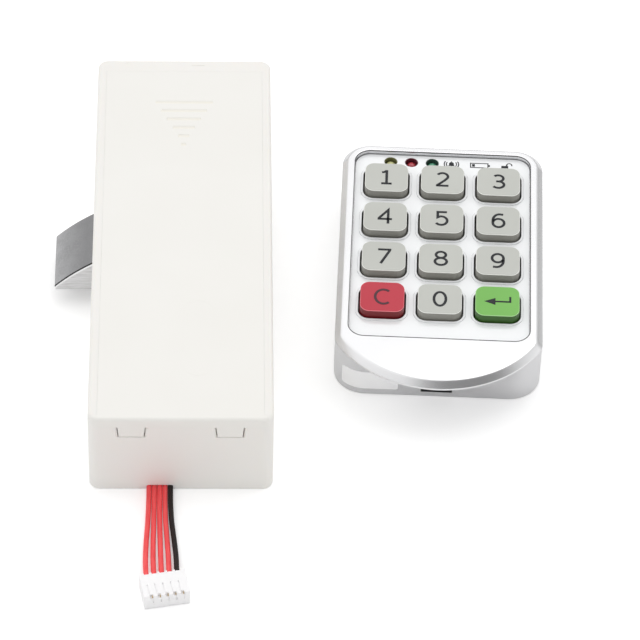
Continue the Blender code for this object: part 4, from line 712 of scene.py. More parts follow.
# Cable
def spline_point(points, position):
    """A point on the smooth curve through points, its position counted in points."""
    i = min(int(position), len(points) - 2)
    t = position - i
    a, b, c, d = (points[max(0, min(len(points) - 1, i + k))] for k in (-1, 0, 1, 2))
    return tuple(0.5 * (2 * q + (r - p) * t + (2 * p - 5 * q + 4 * r - s) * t * t
                        + (3 * q - p - 3 * r + s) * t ** 3) for p, q, r, s in zip(a, b, c, d))


def wire_points(number):
    """One wire's middle line, in metres, beside the cable's route."""
    offset = number - (WIRE_COUNT - 1) / 2
    points = []
    for x, y, z, spacing, turned_share in CABLE_ROUTE:
        turn = turned_share * PLUG_TURN
        points.append((x + offset * spacing * math.cos(turn),
                       y - LOCK_NEAR_END + offset * spacing * math.sin(turn), z))
    return [spline_point(points, (len(points) - 1) * i / WIRE_POINTS) for i in range(WIRE_POINTS + 1)]


def make_wires(on_far_end):
    """Four red wires and a black one, each a smooth curve along the solids' own route."""
    for number in range(WIRE_COUNT):
        red = number < WIRE_COUNT - 1
        points = wire_points(number)
        curve = bpy.data.curves.new(f"sleeve_{number + 1}", "CURVE")
        curve.dimensions = "3D"
        curve.bevel_depth, curve.bevel_resolution = WIRE_DIAMETER / 2, 6
        curve.use_fill_caps = True
        spline = curve.splines.new("POLY")
        spline.points.add(len(points) - 1)
        for place, point in zip(spline.points, points):
            place.co = (*point, 1)
        spline.use_smooth = True
        curve.materials.append(RED_WIRE if red else BLACK_WIRE)
        wire = bpy.data.objects.new(f"sleeve_{number + 1}", curve)
        SCENE.collection.objects.link(wire)
        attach(wire, ROOT)
        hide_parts(f"wire_red_{number + 1}" if red else "wire_black")


def contact_places(y, z):
    return [((i - (WIRE_COUNT - 1) / 2) * PLUG_PITCH, y, z) for i in range(WIRE_COUNT)]


def plug_cutters(near, far):
    """Everything cut out of the plug, each as a shape and the height and end at which it is repeated."""
    slit_x, slit_half, slit_near, slit_far, slit_depth = -0.5, 0.16, 0.9, 4.2, 0.26
    way_x, way_half, way_length, way_high, way_low = 0.45, 0.12, 0.3, 0.3, 1.6
    channel_half, channel_length, channel_height = 0.71, 0.6, 3.0
    bore, funnel, bore_length, funnel_length = 0.72, 0.9, 2.2, 0.5
    mouth = box((-MOUTH_HALF, -OVERRUN, MOUTH_LOW), (MOUTH_HALF, MOUTH_DEPTH, PLUG_HEIGHT + OVERRUN))
    slit = box((slit_x - slit_half, slit_near, -slit_depth), (slit_x + slit_half, slit_far, OVERRUN))
    key_way = box((way_x - way_half, -OVERRUN, -way_low), (way_x + way_half, way_length, -way_high))
    channel = box((-channel_half, -channel_length, 0.0), (channel_half, OVERRUN, channel_height))
    wire_bore = turned(((bore, -bore_length), (bore, 0.0), (funnel, funnel_length)), 24, "Y")
    return ((mouth, near, 0), (slit, near, PLUG_HEIGHT), (key_way, near, MOUTH_LOW),
            (channel, far, PLUG_WIRE_Z), (wire_bore, far, PLUG_WIRE_Z))


def make_plug():
    """The milky plug with its mouths, slits and open wire channels, and the contacts in it."""
    near, far, edge = -GAP - PLUG_LENGTH, -GAP, 0.22
    block = eased(box((-PLUG_HALF, near, 0), (PLUG_HALF, far, PLUG_HEIGHT)), edge, 3)
    cutters = [repeated(shape, contact_places(y, z), NYLON) for shape, y, z in plug_cutters(near, far)]
    body = piece("cable_plug", combine(block, *less(*cutters)), NYLON, ROOT, ["cable_connector"],
                 PLUG_FRAME)
    spring_left, tab_left, spring_right, spring_length = 0.16, 0.28, 0.36, 0.5
    spring_thick, spring_high, lap, inwards, off_floor = 0.1, 0.5, 0.02, 0.2, 0.03
    spring = merged(box((spring_left, 0.0, 0.0), (spring_right, spring_length, spring_thick)),
                    box((tab_left, 0.0, spring_thick - lap), (spring_right, spring_length, spring_high)))
    springs = repeated(spring, contact_places(near + inwards, MOUTH_LOW + off_floor), BRASS)
    return [body, piece("plug_contacts", springs, BRASS, ROOT, (), PLUG_FRAME)]


make_wires(make_plug())


# Latch body
def lock_block():
    """The latch body's outside: round upright corners, a soft top edge and a broken bottom edge."""
    broken, between, steps, shift = 0.25, 0.07, 8, FAR_EXTRA / 2
    levels = [(broken, 0.0), (between, between), (0.0, broken)]
    for i in range(steps + 1):
        angle = math.pi / 2 * i / steps
        levels.append((LOCK_EDGE * (1 - math.cos(angle)), LOCK_HEIGHT - LOCK_EDGE * (1 - math.sin(angle))))
    far_half = HALF_LENGTH + shift
    return loft([raised(rounded(HALF_WIDTH - inset, far_half - inset, LOCK_CORNER - inset, 12, (0, shift)), z)
                 for inset, z in levels])


def tongue(place, grow):
    """The outline of one of the cover's tongues, seen from the near end."""
    top, tip = TONGUE_TOP + grow, TONGUE_TIP + grow
    high, low = RUNNER_LOW + TONGUE_THICK, SEAM_LOW - TONGUE_DROP - grow
    return [(place - tip, low), (place + tip, low), (place + top, high), (place - top, high)]


def tongue_notch(place):
    """The notch round a cover's tongue: wider at its sides than below, its outer edge broken."""
    beside, broken, wide, low_share, mouth = 0.32, 0.75, 0.95, 0.4, 0.02
    rings = []
    for grow, inwards in ((wide, -OVERRUN), (broken, -mouth), (beside, GAP), (beside, TONGUE_THICK + GAP)):
        ring = []
        for x, z in tongue(place, 0.0):
            side = 1 if x > place else -1
            ring.append((x + side * grow, inwards - HALF_LENGTH, z - low_share * grow if z < SEAM_LOW else z))
        rings.append(ring)
    return loft(rings)


def wire_notch(far):
    """A slot that fits closely round the row of wires, open to the back."""
    radius = 0.75
    left, right = CABLE_X - NOTCH_HALF, CABLE_X + NOTCH_HALF
    outline = [(left, -OVERRUN), *arc((left + radius, NOTCH_TOP - radius), radius, 180, 90, 8),
               *arc((right - radius, NOTCH_TOP - radius), radius, 90, 0, 8), (right, -OVERRUN)]
    return upright(outline, -HALF_LENGTH - OVERRUN, far)


def housing_posts():
    """The screw posts in the corners, low at the cells' end, and their bores."""
    half, seat, near_top, far_top, lap = 3.2, 2.3, 13.0, 20.9, 0.5
    bore, bore_low, bore_top = 1.5, 1.0, 10.3
    steps = []
    for side, end in CORNERS:
        x, y = side * SCREW_X, end * SCREW_Y
        low_x, high_x = sorted((x - side * half, side * (INNER_X + lap)))
        low_y, high_y = sorted((y - end * half, end * (INNER_Y + lap)))
        steps += plus(box((low_x, low_y, seat), (high_x, high_y, near_top if end < 0 else far_top)))
        steps += less(rod(bore, bore_low, bore_top, 24, (x, y)))
    return steps


def edge_mark(left, right, near, far, depth=0.07):
    """A tiny shallow mark in the strip beyond the cover."""
    return box((left, near, LOCK_HEIGHT - depth), (right, far, LOCK_HEIGHT + OVERRUN))


def make_housing():
    """The latch body's shell: its bays, the cover's seat, the bolt's window, the notches and the posts."""
    edge, ledge, top_wall = COVER_HALF + GAP, 1.1, 2.0
    back_top, bay_near, bay_low, cell_far, cell_low, window_top = 10.4, -14.4, 9.0, -16.0, 12.0, 15.7
    near, wide, top = -HALF_LENGTH - OVERRUN, HALF_WIDTH + OVERRUN, LOCK_HEIGHT + OVERRUN
    back_room = box((-INNER_X, -INNER_Y, -OVERRUN), (INNER_X, INNER_Y, back_top))
    drive_bay = box((-INNER_X, bay_near, bay_low), (INNER_X, INNER_Y, LOCK_HEIGHT - top_wall))
    cell_bay = box((-INNER_X, -INNER_Y, cell_low), (INNER_X, cell_far, SEAM_LOW + GAP))
    runner_seat = box((-edge - ledge, near, SEAM_LOW), (edge + ledge, COVER_FAR + GAP, COVER_LOW + GAP))
    cover_seat = box((-edge, near, SEAM_LOW + GAP), (edge, COVER_FAR + GAP, top))
    flange_seat = box((-wide, near, SEAM_LOW), (wide, -HALF_LENGTH + FLANGE_THICK + SEAM, top))
    bolt_window = box((-wide, BOLT_NEAR - GAP, BOLT_LOW - GAP),
                      (-INNER_X + OVERRUN, BOLT_FAR + GAP, window_top))
    shape = combine(lock_block(), *less(
        back_room, drive_bay, cell_bay, runner_seat, cover_seat, flange_seat, bolt_window,
        *[edge_mark(*mark) for mark in EDGE_MARKS], wire_notch(-INNER_Y + OVERRUN),
        *[tongue_notch(side * TONGUE_PLACE) for side in (-1, 1)]), *housing_posts())
    piece("shell_of_latch_body", shape, HOUSING, ROOT, ["lock_housing"])


def grip_grooves():
    """Cutters of the cover's grip arrow: round-bottomed troughs that shorten towards the near end."""
    first_y, pitch, axis_height, half_length = 51.9, 3.4, 1.1, 17.0
    end, middle, rim = (0.05, 0.5), (1.0, 0.49), (1.3, 0.46)
    half = (end, middle, rim)
    profile = [(radius, -x) for radius, x in half] + [(radius, x) for radius, x in reversed(half)]
    places = [(0, first_y - pitch * row, LOCK_HEIGHT + axis_height) for row in range(len(GROOVE_SHARES))]
    stretches = [(half_length * share, 1, 1) for share in GROOVE_SHARES]
    return repeated(turned(profile, 64, "X"), places, COVER, stretches)


def capsule_mark():
    """The shallow long mark on the cover's near half."""
    centre, half_x, half_y, line, depth, above, off_full = (4.35, -39.2), 4.2, 13.8, 0.3, 0.02, 0.5, 0.01
    outer = rounded(half_x, half_y, half_x - off_full, 12, centre)
    inner = rounded(half_x - line, half_y - line, half_x - line - off_full, 12, centre)
    return wall_between(outer, inner, LOCK_HEIGHT - depth, LOCK_HEIGHT + above)


def make_cover():
    """The long battery cover: its lid, its near flange, its runners, its tongues and its marks."""
    half, far, top = COVER_HALF + GAP - SEAM, COVER_FAR + GAP - SEAM, LOCK_HEIGHT + OVERRUN
    near, wide = -HALF_LENGTH - OVERRUN, HALF_WIDTH + OVERRUN
    runner_in, runner_out, runner_near, lap = 19.3, 22.1, 0.8, 0.3
    lid = box((-half, near, COVER_LOW), (half, far, top))
    flange = box((-wide, near, SEAM_LOW + SEAM), (wide, -HALF_LENGTH + FLANGE_THICK, top))
    runners = [box((left, -HALF_LENGTH + runner_near, RUNNER_LOW), (right, COVER_FAR - GAP, COVER_LOW + lap))
               for left, right in ((-runner_out, -runner_in), (runner_in, runner_out))]
    tongues = [upright(tongue(side * TONGUE_PLACE, 0.0), -HALF_LENGTH, -HALF_LENGTH + TONGUE_THICK)
               for side in (-1, 1)]
    shape = combine(lid, *plus(flange, *runners), ("INTERSECT", lock_block()), *plus(*tongues),
                    *less(grip_grooves(), capsule_mark()))
    piece("sliding_battery_cover", shape, COVER, "cover", ["battery_cover"])


def make_back_plate():
    """The mounting plate: its rail under the bolt, the wires' way out and the countersunk holes."""
    thick, corner, low_corner, broken, wire_room, way_end, above = 2.0, 1.5, 1.3, 0.25, 4.0, -59.25, 3.0
    head, neck, shank, cone_depth = 3.6, 2.65, 1.5, 1.5
    outline = rounded(INNER_X - SEAM, INNER_Y - SEAM, corner, 8)
    inset = rounded(INNER_X - SEAM - broken, INNER_Y - SEAM - broken, low_corner, 8)
    plate = loft([raised(inset, 0.0), raised(outline, broken), raised(outline, thick)])
    rail_start, rail_end = (-21.2, 0.3, 1.5), (-8.5, 18.7, 4.7)
    rail = box(rail_start, rail_end)
    way = box((CABLE_X - wire_room, -HALF_LENGTH - OVERRUN, -OVERRUN), (CABLE_X + wire_room, way_end, above))
    holes = [turned(((head, -OVERRUN), (neck, 0.0), (shank, cone_depth), (shank, above)), 32, "Z",
                    (side * SCREW_X, end * SCREW_Y, 0)) for side, end in CORNERS]
    shape = combine(plate, *plus(rail), *less(way, *holes))
    piece("mounting_plate", shape, HOUSING, ROOT, ["back_plate"])


def screw_shape(head_radius):
    """A countersunk screw with a cross recess, its head's face at z = 0 and its shank running up."""
    rim, rim_rise, shank, tip, cone_end, shank_end, screw_end = 0.12, 0.1, 1.2, 0.9, 1.2, 6.7, 7.0
    arm_share, slot_half, depth, above = 0.62, 0.24, 0.75, 0.5
    arm = head_radius * arm_share
    shape = turned(((head_radius - rim, 0.0), (head_radius, rim_rise), (shank, cone_end), (shank, shank_end),
                    (tip, screw_end)), 32)
    slots = [box((-x, -y, -above), (x, y, depth)) for x, y in ((arm, slot_half), (slot_half, arm))]
    return combine(shape, *less(*slots))


def screws(name, head_radius, places, angles, nodes, own_frame):
    """Screws at (x, y), each turned its own way, as one piece."""
    shape = repeated(screw_shape(head_radius), [(x, y, SCREW_FACE) for x, y in places], STEEL, None,
                     [(0, 0, angle) for angle in angles])
    piece(name, shape, STEEL, ROOT, nodes, own_frame)


def make_bolt():
    """The slam bolt: a convex ramp with broken edges, a flat shoulder, and its stem inside."""
    shoulder_x, edge, steps = -17.8, 0.3, 24
    stem_radius, collar_radius, stem_start, collar_start, collar_end = 1.9, 3.2, -18.5, -2.3, -0.9
    low_tip, high = Vector((BOLT_TIP_X, BOLT_LOW + BOLT_TIP)), Vector((-HALF_WIDTH, BOLT_HIGH))
    along = high - low_tip
    outwards = Vector((-along.y, along.x)).normalized()
    ramp = []
    for i in range(steps + 1):
        share = i / steps
        ramp.append(tuple(low_tip + along * share + outwards * BOLT_BULGE * 4 * share * (1 - share)))
    outline = [(shoulder_x, BOLT_LOW), (shoulder_x, BOLT_HIGH), *reversed(ramp), (BOLT_TIP_X, BOLT_LOW)]
    shape = eased(upright(outline, BOLT_NEAR, BOLT_FAR), edge, 1, 50.0)
    stem = turned(((stem_radius, stem_start), (stem_radius, collar_start), (collar_radius, collar_start),
                   (collar_radius, collar_end)), 32, "X", (0, STEM_Y, STEM_Z))
    piece("slam_bolt", combine(shape, *plus(stem)), BOLT_STEEL, "bolt", ["latch_bolt"])


def make_bolt_coil():
    """The coil behind the bolt, which closes up as the bolt is pushed in; here it is drawn in one fixed
    shape.
    """
    steps = 20 * COIL_TURNS
    rings = []
    for i in range(steps + 1):
        share = i / steps
        angle = 2 * math.pi * COIL_TURNS * share
        across = Vector((math.cos(angle), math.sin(angle)))
        ring = []
        for a, b in circle(COIL_WIRE, 8):
            y, z = (COIL_RADIUS + a) * across
            ring.append((COIL_START + COIL_LENGTH * share - b, STEM_Y + y, STEM_Z + z))
        rings.append(ring)
    coil = piece("bolt_return_coil", loft(rings), STEEL, "carriage", ["bolt_spring"])
    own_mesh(coil)


def make_cells():
    """Four small round cells, every other one turned round: shrink sleeves, and the steel cans' ends."""
    sleeve = ((4.3, 43.3), (4.7, 43.45), (5.05, 43.2), (5.2, 42.6), (5.2, 0.7), (5.05, 0.15), (4.7, 0.0),
              (4.3, 0.1))
    can = ((0.4, CELL_LENGTH), (1.7, CELL_LENGTH), (1.9, 44.3), (1.9, 43.5), (3.2, 43.3), (4.4, 43.35),
           (4.4, 42.8), (4.4, 0.6), (4.4, 0.05), (3.6, 0.05), (3.3, 0.3), (0.4, 0.3))
    room, between = 0.35, 0.3
    pitch = (2 * (INNER_X - room) + between) / CELL_COUNT
    places, turns = [], []
    for i in range(CELL_COUNT):
        turned_round = i % 2 == 1
        x, y = (i - (CELL_COUNT - 1) / 2) * pitch, CELL_NEAR + CELL_LENGTH * turned_round
        places.append((x, y, CELL_HEIGHT))
        turns.append((0, 0, math.pi * turned_round))
    sleeves = repeated(turned(sleeve, 56, "Y"), places, SLEEVE, None, turns)
    cans = repeated(turned(can, 40, "Y"), places, STEEL, None, turns)
    nodes = [f"battery_cell_{i + 1}" for i in range(CELL_COUNT)]
    piece("four_cells", sleeves, SLEEVE, ROOT, nodes)
    piece("four_cell_cans", cans, STEEL, ROOT, ())


make_housing()
make_cover()
make_back_plate()
screws("plate_screws", PLATE_SCREW_HEAD, [(side * SCREW_X, end * SCREW_Y) for side, end in CORNERS],
       PLATE_SCREW_TURNS, [f"back_screw_{i}" for i in range(1, 5)], LOCK_FRAME)
make_bolt()
make_bolt_coil()
make_cells()
dress(HOUSING, "mechanism_cover")
dress(STEEL, "gear_motor", "motor_clamp", *[f"battery_contact_{i}" for i in range(1, 6)])
dress(ACETAL, "bolt_carriage")
dress(BRASS, "drive_pinion", "mounting_insert_1", "mounting_insert_2")
dress(BOARD, "junction_board", "keypad_board")
dress(NYLON, "wire_header", "cable_socket")
dress(BLACK, "limit_switch", "buzzer", "keypad_back_cover", "power_port")


# Keypad
def near_edge(x, lip_share, inset):
    """The y of the near side at x: 0 is the base's edge, 1 is the lip's, which reaches out in a bow."""
    inner = PAD_HALF - PAD_NEAR_CORNER
    corner = PAD_NEAR_CORNER - inset
    base = inset
    if abs(x) > inner:
        base += corner - math.sqrt(max(0.0, corner ** 2 - (abs(x) - inner) ** 2))
    if abs(x) * (LIP_RADIUS - LIP_CORNER) > LIP_CORNER_X * (LIP_RADIUS - inset):
        lip = LIP_CORNER_Y - math.sqrt(max(0.0, (LIP_CORNER - inset) ** 2 - (abs(x) - LIP_CORNER_X) ** 2))
    else:
        lip = LIP_CENTRE_Y - math.sqrt((LIP_RADIUS - inset) ** 2 - x ** 2)
    return base + (lip - base) * lip_share


def shell_outline(lip_share, inset=0.0):
    half, corner, far = PAD_HALF - inset, PAD_FAR_CORNER - inset, PAD_LENGTH - inset
    points = arc((half - corner, far - corner), corner, 0, 90, 20)
    points += arc((-half + corner, far - corner), corner, 90, 180, 20)
    for i in range(LIP_POINTS + 1):
        x = -half * math.cos(math.pi * i / LIP_POINTS)
        points.append((x, near_edge(x, lip_share, inset)))
    return points


def shell_rings():
    """Base, the cove under the lip, the lip's thin band, and the chamfer with softened edges."""
    broken, between, cove_steps = 0.3, 0.08, 20
    rings = [raised(shell_outline(0, broken), 0.0), raised(shell_outline(0, between), between),
             raised(shell_outline(0), broken), raised(shell_outline(0), COVE_START)]
    for i in range(1, cove_steps + 1):
        angle = math.pi / 2 * i / cove_steps
        height = COVE_START + (LIP_LOW - COVE_START) * math.sin(angle)
        rings.append(raised(shell_outline(1 - math.cos(angle)), height))
    foot = PAD_HEIGHT - PAD_CHAMFER
    low_edge = ((0.0, -0.08), (0.03, 0.0), (0.1, 0.09))
    high_edge = ((-0.42, -0.42), (-0.12, -0.19), (0.16, -0.06), (0.45, 0.0))
    rings += [raised(shell_outline(1, inset), foot + rise) for inset, rise in low_edge]
    rings += [raised(shell_outline(1, PAD_CHAMFER + inset), PAD_HEIGHT + rise) for inset, rise in high_edge]
    return rings


def key_places():
    """The middles of the keys, from the near left one."""
    return [((column - 1) * KEY_PITCH_X, KEY_FIRST_Y + row * KEY_PITCH_Y)
            for row in range(4) for column in range(3)]


def at_keys(shape, material):
    """A shape at each key."""
    return repeated(shape, [(x, y, 0) for x, y in key_places()], material)


def key_outline(grow, centre=(0, 0)):
    return rounded(KEY_WIDTH / 2 + grow, KEY_DEPTH / 2 + grow, KEY_CORNER + grow, 8, centre)


def key_openings(low, high):
    return [slab(key_outline(KEY_SLOT, place), low, high) for place in key_places()]


def pocket_outline(grow):
    """The outline of the pocket that the face sheet lies in."""
    middle, half = (POCKET_NEAR + POCKET_FAR) / 2, (POCKET_FAR - POCKET_NEAR) / 2
    return rounded(POCKET_HALF + grow, half + grow, POCKET_CORNER + grow, 12, (0, middle))


def make_keypad_shell():
    """The zinc shell: its pocket, its open back, the holes in its deck, the supply slot and its posts."""
    edge, half_edge, small_edge, above = 0.35, 0.175, 0.0455, 1.0
    room_half, room_long, room_corner, room_middle = 25.45, 38.0, 3.5, 40.2
    port_half, port_depth, port_low, port_high = 4.2, 3.2, 1.75, 6.05
    post, post_low, lap, bore_low = 3.0, 1.9, 0.5, 0.9
    insert_bore, insert_top, bore, bore_top = 2.3, 6.6, 1.5, 7.6
    pocket = loft([raised(pocket_outline(grow), z) for grow, z in (
        (0, DECK_TOP), (0, PAD_HEIGHT - edge), (small_edge, PAD_HEIGHT - half_edge),
        (half_edge, PAD_HEIGHT - small_edge), (edge, PAD_HEIGHT), (edge, PAD_HEIGHT + above))])
    cavity = slab(rounded(room_half, room_long, room_corner, 10, (0, room_middle)), -above, DECK_LOW)
    low, high = DECK_LOW - above, DECK_TOP + above
    lamp_holes = [rod(LED_HOLE, low, high, 40, (x, LED_Y)) for x in LED_PLACES]
    port = box((-port_half, -above, port_low), (port_half, port_depth, port_high))
    steps = less(pocket, cavity, *key_openings(low, high), *lamp_holes, port)
    for places, radius, top in ((INSERT_POSTS, insert_bore, insert_top), (SCREW_POSTS, bore, bore_top)):
        for place in places:
            steps += plus(rod(post, post_low, DECK_LOW + lap, 36, place))
            steps += less(rod(radius, bore_low, top, 28, place))
    pad_piece("zinc_keypad_shell", combine(loft(shell_rings()), *steps), ZINC, ["keypad_body"])


def key_rim():
    """The raised rim round one key's hole in the face sheet."""
    sunk, inner_edge, outer_edge, outer_drop = 0.25, 0.06, 0.1, 0.08
    rings = [(0.0, -sunk), (0.0, RIM_HEIGHT - inner_edge), (inner_edge, RIM_HEIGHT),
             (RIM_WIDTH - outer_edge, RIM_HEIGHT), (RIM_WIDTH, RIM_HEIGHT - outer_drop), (RIM_WIDTH, -sunk)]
    return loft([raised(key_outline(KEY_SLOT + grow), PLATE_TOP + rise) for grow, rise in rings], closed=True)


def rim_groove():
    """The cutter of the fine groove at the rim's foot."""
    under, width, depth, above = 0.05, 0.15, 0.16, 0.5
    inner = key_outline(KEY_SLOT + RIM_WIDTH - under)
    outer = key_outline(KEY_SLOT + RIM_WIDTH - under + width)
    return wall_between(outer, inner, PLATE_TOP - depth, PLATE_TOP + above)


def make_face_sheet():
    """The glossy face sheet, with its holes and a rim round each key."""
    edge, mid_edge, hole_edge, above = 0.15, 0.04, 0.1, 1.0
    sheet = loft([raised(pocket_outline(-PLATE_SEAM - inset), z) for inset, z in (
        (0.0, PLATE_LOW), (0.0, PLATE_TOP - edge), (mid_edge, PLATE_TOP - mid_edge), (edge, PLATE_TOP))])
    low, high = PLATE_LOW - above, PLATE_TOP + above
    hole = ((LED_HOLE, low), (LED_HOLE, PLATE_TOP - hole_edge), (LED_HOLE + hole_edge, PLATE_TOP),
            (LED_HOLE + hole_edge, high))
    holes = [turned(hole, 40, "Z", (x, LED_Y, 0)) for x in LED_PLACES]
    sheet = combine(sheet, *less(*key_openings(low, high), *holes, at_keys(rim_groove(), FACE)))
    sheet = merged(sheet, at_keys(key_rim(), FACE))
    pad_piece("glossy_face_sheet", sheet, FACE, ["face_plate"])


def make_sleeves():
    """Black sleeves that paint the key openings' shade, and dark sleeves in the lamps' openings with the
    lamps' light painted on.
    """
    off_wall, key_wall, lamp_wall, sunk = 0.01, 0.12, 0.1, 0.12
    key_low, lamp_low, high = DECK_LOW + 0.1, PLATE_LOW - 0.4, PLATE_TOP - sunk
    outer = KEY_SLOT - off_wall
    # Painted shade: black sleeves line the key openings, which are otherwise only in shade.
    key_sleeve = wall_between(key_outline(outer), key_outline(outer - key_wall), key_low, high)
    pad_piece("opening_sleeves", at_keys(key_sleeve, BLACK), BLACK)
    # Painted light: each lamp's opening is lined in the lamp's glow.
    outer = LED_HOLE - off_wall
    for (name, material), x in zip(LAMP_LIGHT_WALLS.items(), LED_PLACES):
        rims = [circle(radius, 40, (x, LED_Y)) for radius in (outer, outer - lamp_wall)]
        pad_piece(f"sleeve_round_{name}", wall_between(*rims, lamp_low, high), material)


def make_painted_gap_shade():
    """A thin black band, painted shade of the gap round the sheet, that stands between the sheet's pocket and
    the shell, just below the lip's face.
    """
    low, high, inwards = PAD_HEIGHT - 0.3, PAD_HEIGHT - 0.02, 0.02
    # Painted shade: the black band stands for the shadow in the gap round the sheet.
    shade_band = wall_between(pocket_outline(SHADE_BAND_REACH), pocket_outline(-inwards), low, high)
    pad_piece("sheet_seal", shade_band, BLACK)


def make_key_mat():
    """The silicone sheet under the keys, and its twelve domes, which give way as the keys are pressed; here
    they are drawn in one fixed shape.
    """
    half, notch, near, near_notch, far_notch, far, lamp_room = 24.85, 17.2, 2.8, 12.2, 72.55, 77.6, 2.6
    right = [(notch, near), (notch, near_notch), (half, near_notch), (half, far_notch), (notch, far_notch),
             (notch, far)]
    outline = right + [(-x, y) for x, y in reversed(right)]
    openings = [rod(lamp_room, MAT_LOW - OVERRUN, MAT_TOP + OVERRUN, 32, (x, LED_Y)) for x in LED_PLACES]
    mat = combine(slab(outline, MAT_LOW, MAT_TOP), *less(*openings))
    pad_piece("silicone_mat", mat, SILICONE, ["key_mat"])
    foot, wall, shoulder, top, sunk, skirt, shoulder_drop = 3.6, 3.5, 3.0, 2.75, 0.1, 0.2, 0.25
    dome = ((foot, MAT_TOP - sunk), (wall, MAT_TOP + skirt), (shoulder, DOME_TOP - shoulder_drop),
            (top, DOME_TOP))
    for name, (x, y) in zip(KEY_NAMES, key_places()):
        shape = pad_piece(f"mat_dome_{name}", turned(dome, 32, "Z", (x, y, 0)), SILICONE)
        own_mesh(shape)


def key_shape():
    """One key about its own centre: flange, slightly drafted sides and a soft, barely crowned top."""
    low, flange_top, crown, round_steps = 11.15, 12.55, 0.06, 6
    flat_inset, flat_reach, corner_loss, least_corner = 0.5, 4.8, 2.1, 0.2
    flange = key_outline(KEY_SLOT + KEY_FLANGE)
    rings = [raised(flange, low), raised(flange, flange_top), raised(key_outline(0.0), flange_top),
             raised(key_outline(-KEY_DRAFT), KEY_TOP - KEY_ROUND)]
    for i in range(1, round_steps + 1):
        angle = math.pi / 2 * i / round_steps
        inset = KEY_DRAFT + KEY_ROUND * (1 - math.cos(angle))
        rings.append(raised(key_outline(-inset), KEY_TOP - KEY_ROUND * (1 - math.sin(angle)) - crown))
    for share in (0.25, 0.5, 0.75):
        inset = flat_inset + share * flat_reach
        corner = max(least_corner, KEY_CORNER - flat_inset - share * corner_loss)
        rings.append(raised(rounded(KEY_WIDTH / 2 - inset, KEY_DEPTH / 2 - inset, corner, 8),
                            KEY_TOP - crown * (1 - share) ** 2))
    return loft(rings)


def ribbon(points, width, closed=False):
    """A flat stroke of even width along points, as a thin slab."""
    sharpest = 0.35
    count = len(points)
    rings = []
    for i, point in enumerate(points):
        before = points[(i - 1) % count] if closed or i else None
        after = points[(i + 1) % count] if closed or i < count - 1 else None
        here = Vector(point)
        first = (here - Vector(before)).normalized() if before else (Vector(after) - here).normalized()
        second = (Vector(after) - here).normalized() if after else first
        across = Vector((-(first + second).y, (first + second).x)).normalized()
        reach = across * (width / 2 / max(sharpest, across.dot(Vector((-first.y, first.x)))))
        left, right = here + reach, here - reach
        rings.append([(p.x, p.y, z) for p, z in ((left, INK_LOW), (right, INK_LOW), (right, INK_TOP),
                                                 (left, INK_TOP))])
    return loft(rings, closed)


# The signs' centre lines about their middles, each with whether it is closed: plain round digits
DIGITS = {
    "1": [([(-1.25, 1.75), (-0.75, 1.85), (-0.25, 2.15), (0.0, 2.55)], False),
          ([(0.0, 2.6), (0.0, -2.35)], False), ([(-1.35, -2.35), (1.35, -2.35)], False)],
    "2": [([*oval((-0.05, 1.05), 1.4, 1.3, 150, -25, 20), (0.55, -0.35), (-0.4, -1.3), (-1.35, -2.2),
            (-1.35, -2.35), (1.55, -2.35)], False)],
    "3": [(oval((-0.1, 1.2), 1.3, 1.15, 140, -90, 22), False), ([(-0.65, 0.05), (-0.1, 0.05)], False),
          (oval((-0.1, -1.15), 1.5, 1.2, 90, -145, 24), False)],
    "4": [([(0.75, -2.65), (0.75, 2.35), (-1.6, -0.75), (-1.6, -1.0), (1.75, -1.0)], False)],
    "5": [([(1.3, 2.35), (-1.05, 2.35), (-1.05, 0.35),
            *oval((-0.15, -0.8), 1.55, 1.55, 100, -145, 26)], False)],
    "6": [([(1.25, 2.25), *oval((0.35, 0.1), 1.75, 2.25, 78, 180, 18),
            *oval((0.05, -0.85), 1.45, 1.5, 180, 520, 36)], False)],
    "7": [([(-1.5, 2.35), (1.5, 2.35), (1.45, 2.0), (-0.75, -2.65)], False)],
    "8": [(oval((0, 1.25), 1.25, 1.1, 0, 360, 30)[:-1], True),
          (oval((0, -1.15), 1.5, 1.25, 0, 360, 32)[:-1], True)],
    "9": [([(-1.25, -2.3), *oval((-0.35, -0.1), 1.75, 2.25, -102, 0, 18),
            *oval((-0.05, 0.85), 1.45, 1.5, 0, 340, 36)], False)],
    "0": [(oval((0, 0), 1.5, 2.4, 0, 360, 44)[:-1], True)],
    "clear": [(oval((0.3, 0), 2.1, 2.5, 50, 310, 34), False)],
}


def sign_shape(name):
    """The print on one key: a digit, an open round for clear, or a bent arrow for enter."""
    if name == "enter":
        middle, line, head_half = -0.15, 0.55, 1.3
        head = [(-3.55, middle), (-0.55, middle + head_half), (-0.55, middle - head_half)]
        shaft = ribbon([(-0.7, middle), (3.4, middle), (3.4, 1.75)], line)
        return combine(slab(head, INK_LOW, INK_TOP), *plus(shaft))
    first, *others = [ribbon([(x * SIGN_SCALE, y * SIGN_SCALE) for x, y in points], STROKE, closed)
                      for points, closed in DIGITS[name]]
    return combine(first, *plus(*others))


def make_keys():
    """Twelve keys, and the printed sign on each, on the key's own body."""
    colours = {"clear": (RED_KEY, RED_KEY_INK, "key_red"), "enter": (GREEN_KEY, INK, "key_green")}
    nearer = 0.1
    for name, (x, y) in zip(KEY_NAMES, key_places()):
        material, ink, slot = colours.get(name, (GREY_KEY, INK, "key_grey"))
        body = f"button_{name}"
        pad_piece(f"cap_{name}", placed(key_shape(), x, y), material, [f"key_{name}"], body)
        sign = placed(sign_shape(name), x, y - nearer, KEY_TOP)
        pad_piece(f"print_{name}", sign, ink, (), body)


def patch(outline):
    """A solid patch of the small signs' ink."""
    return slab(outline, SIGN_LOW, INK_TOP)


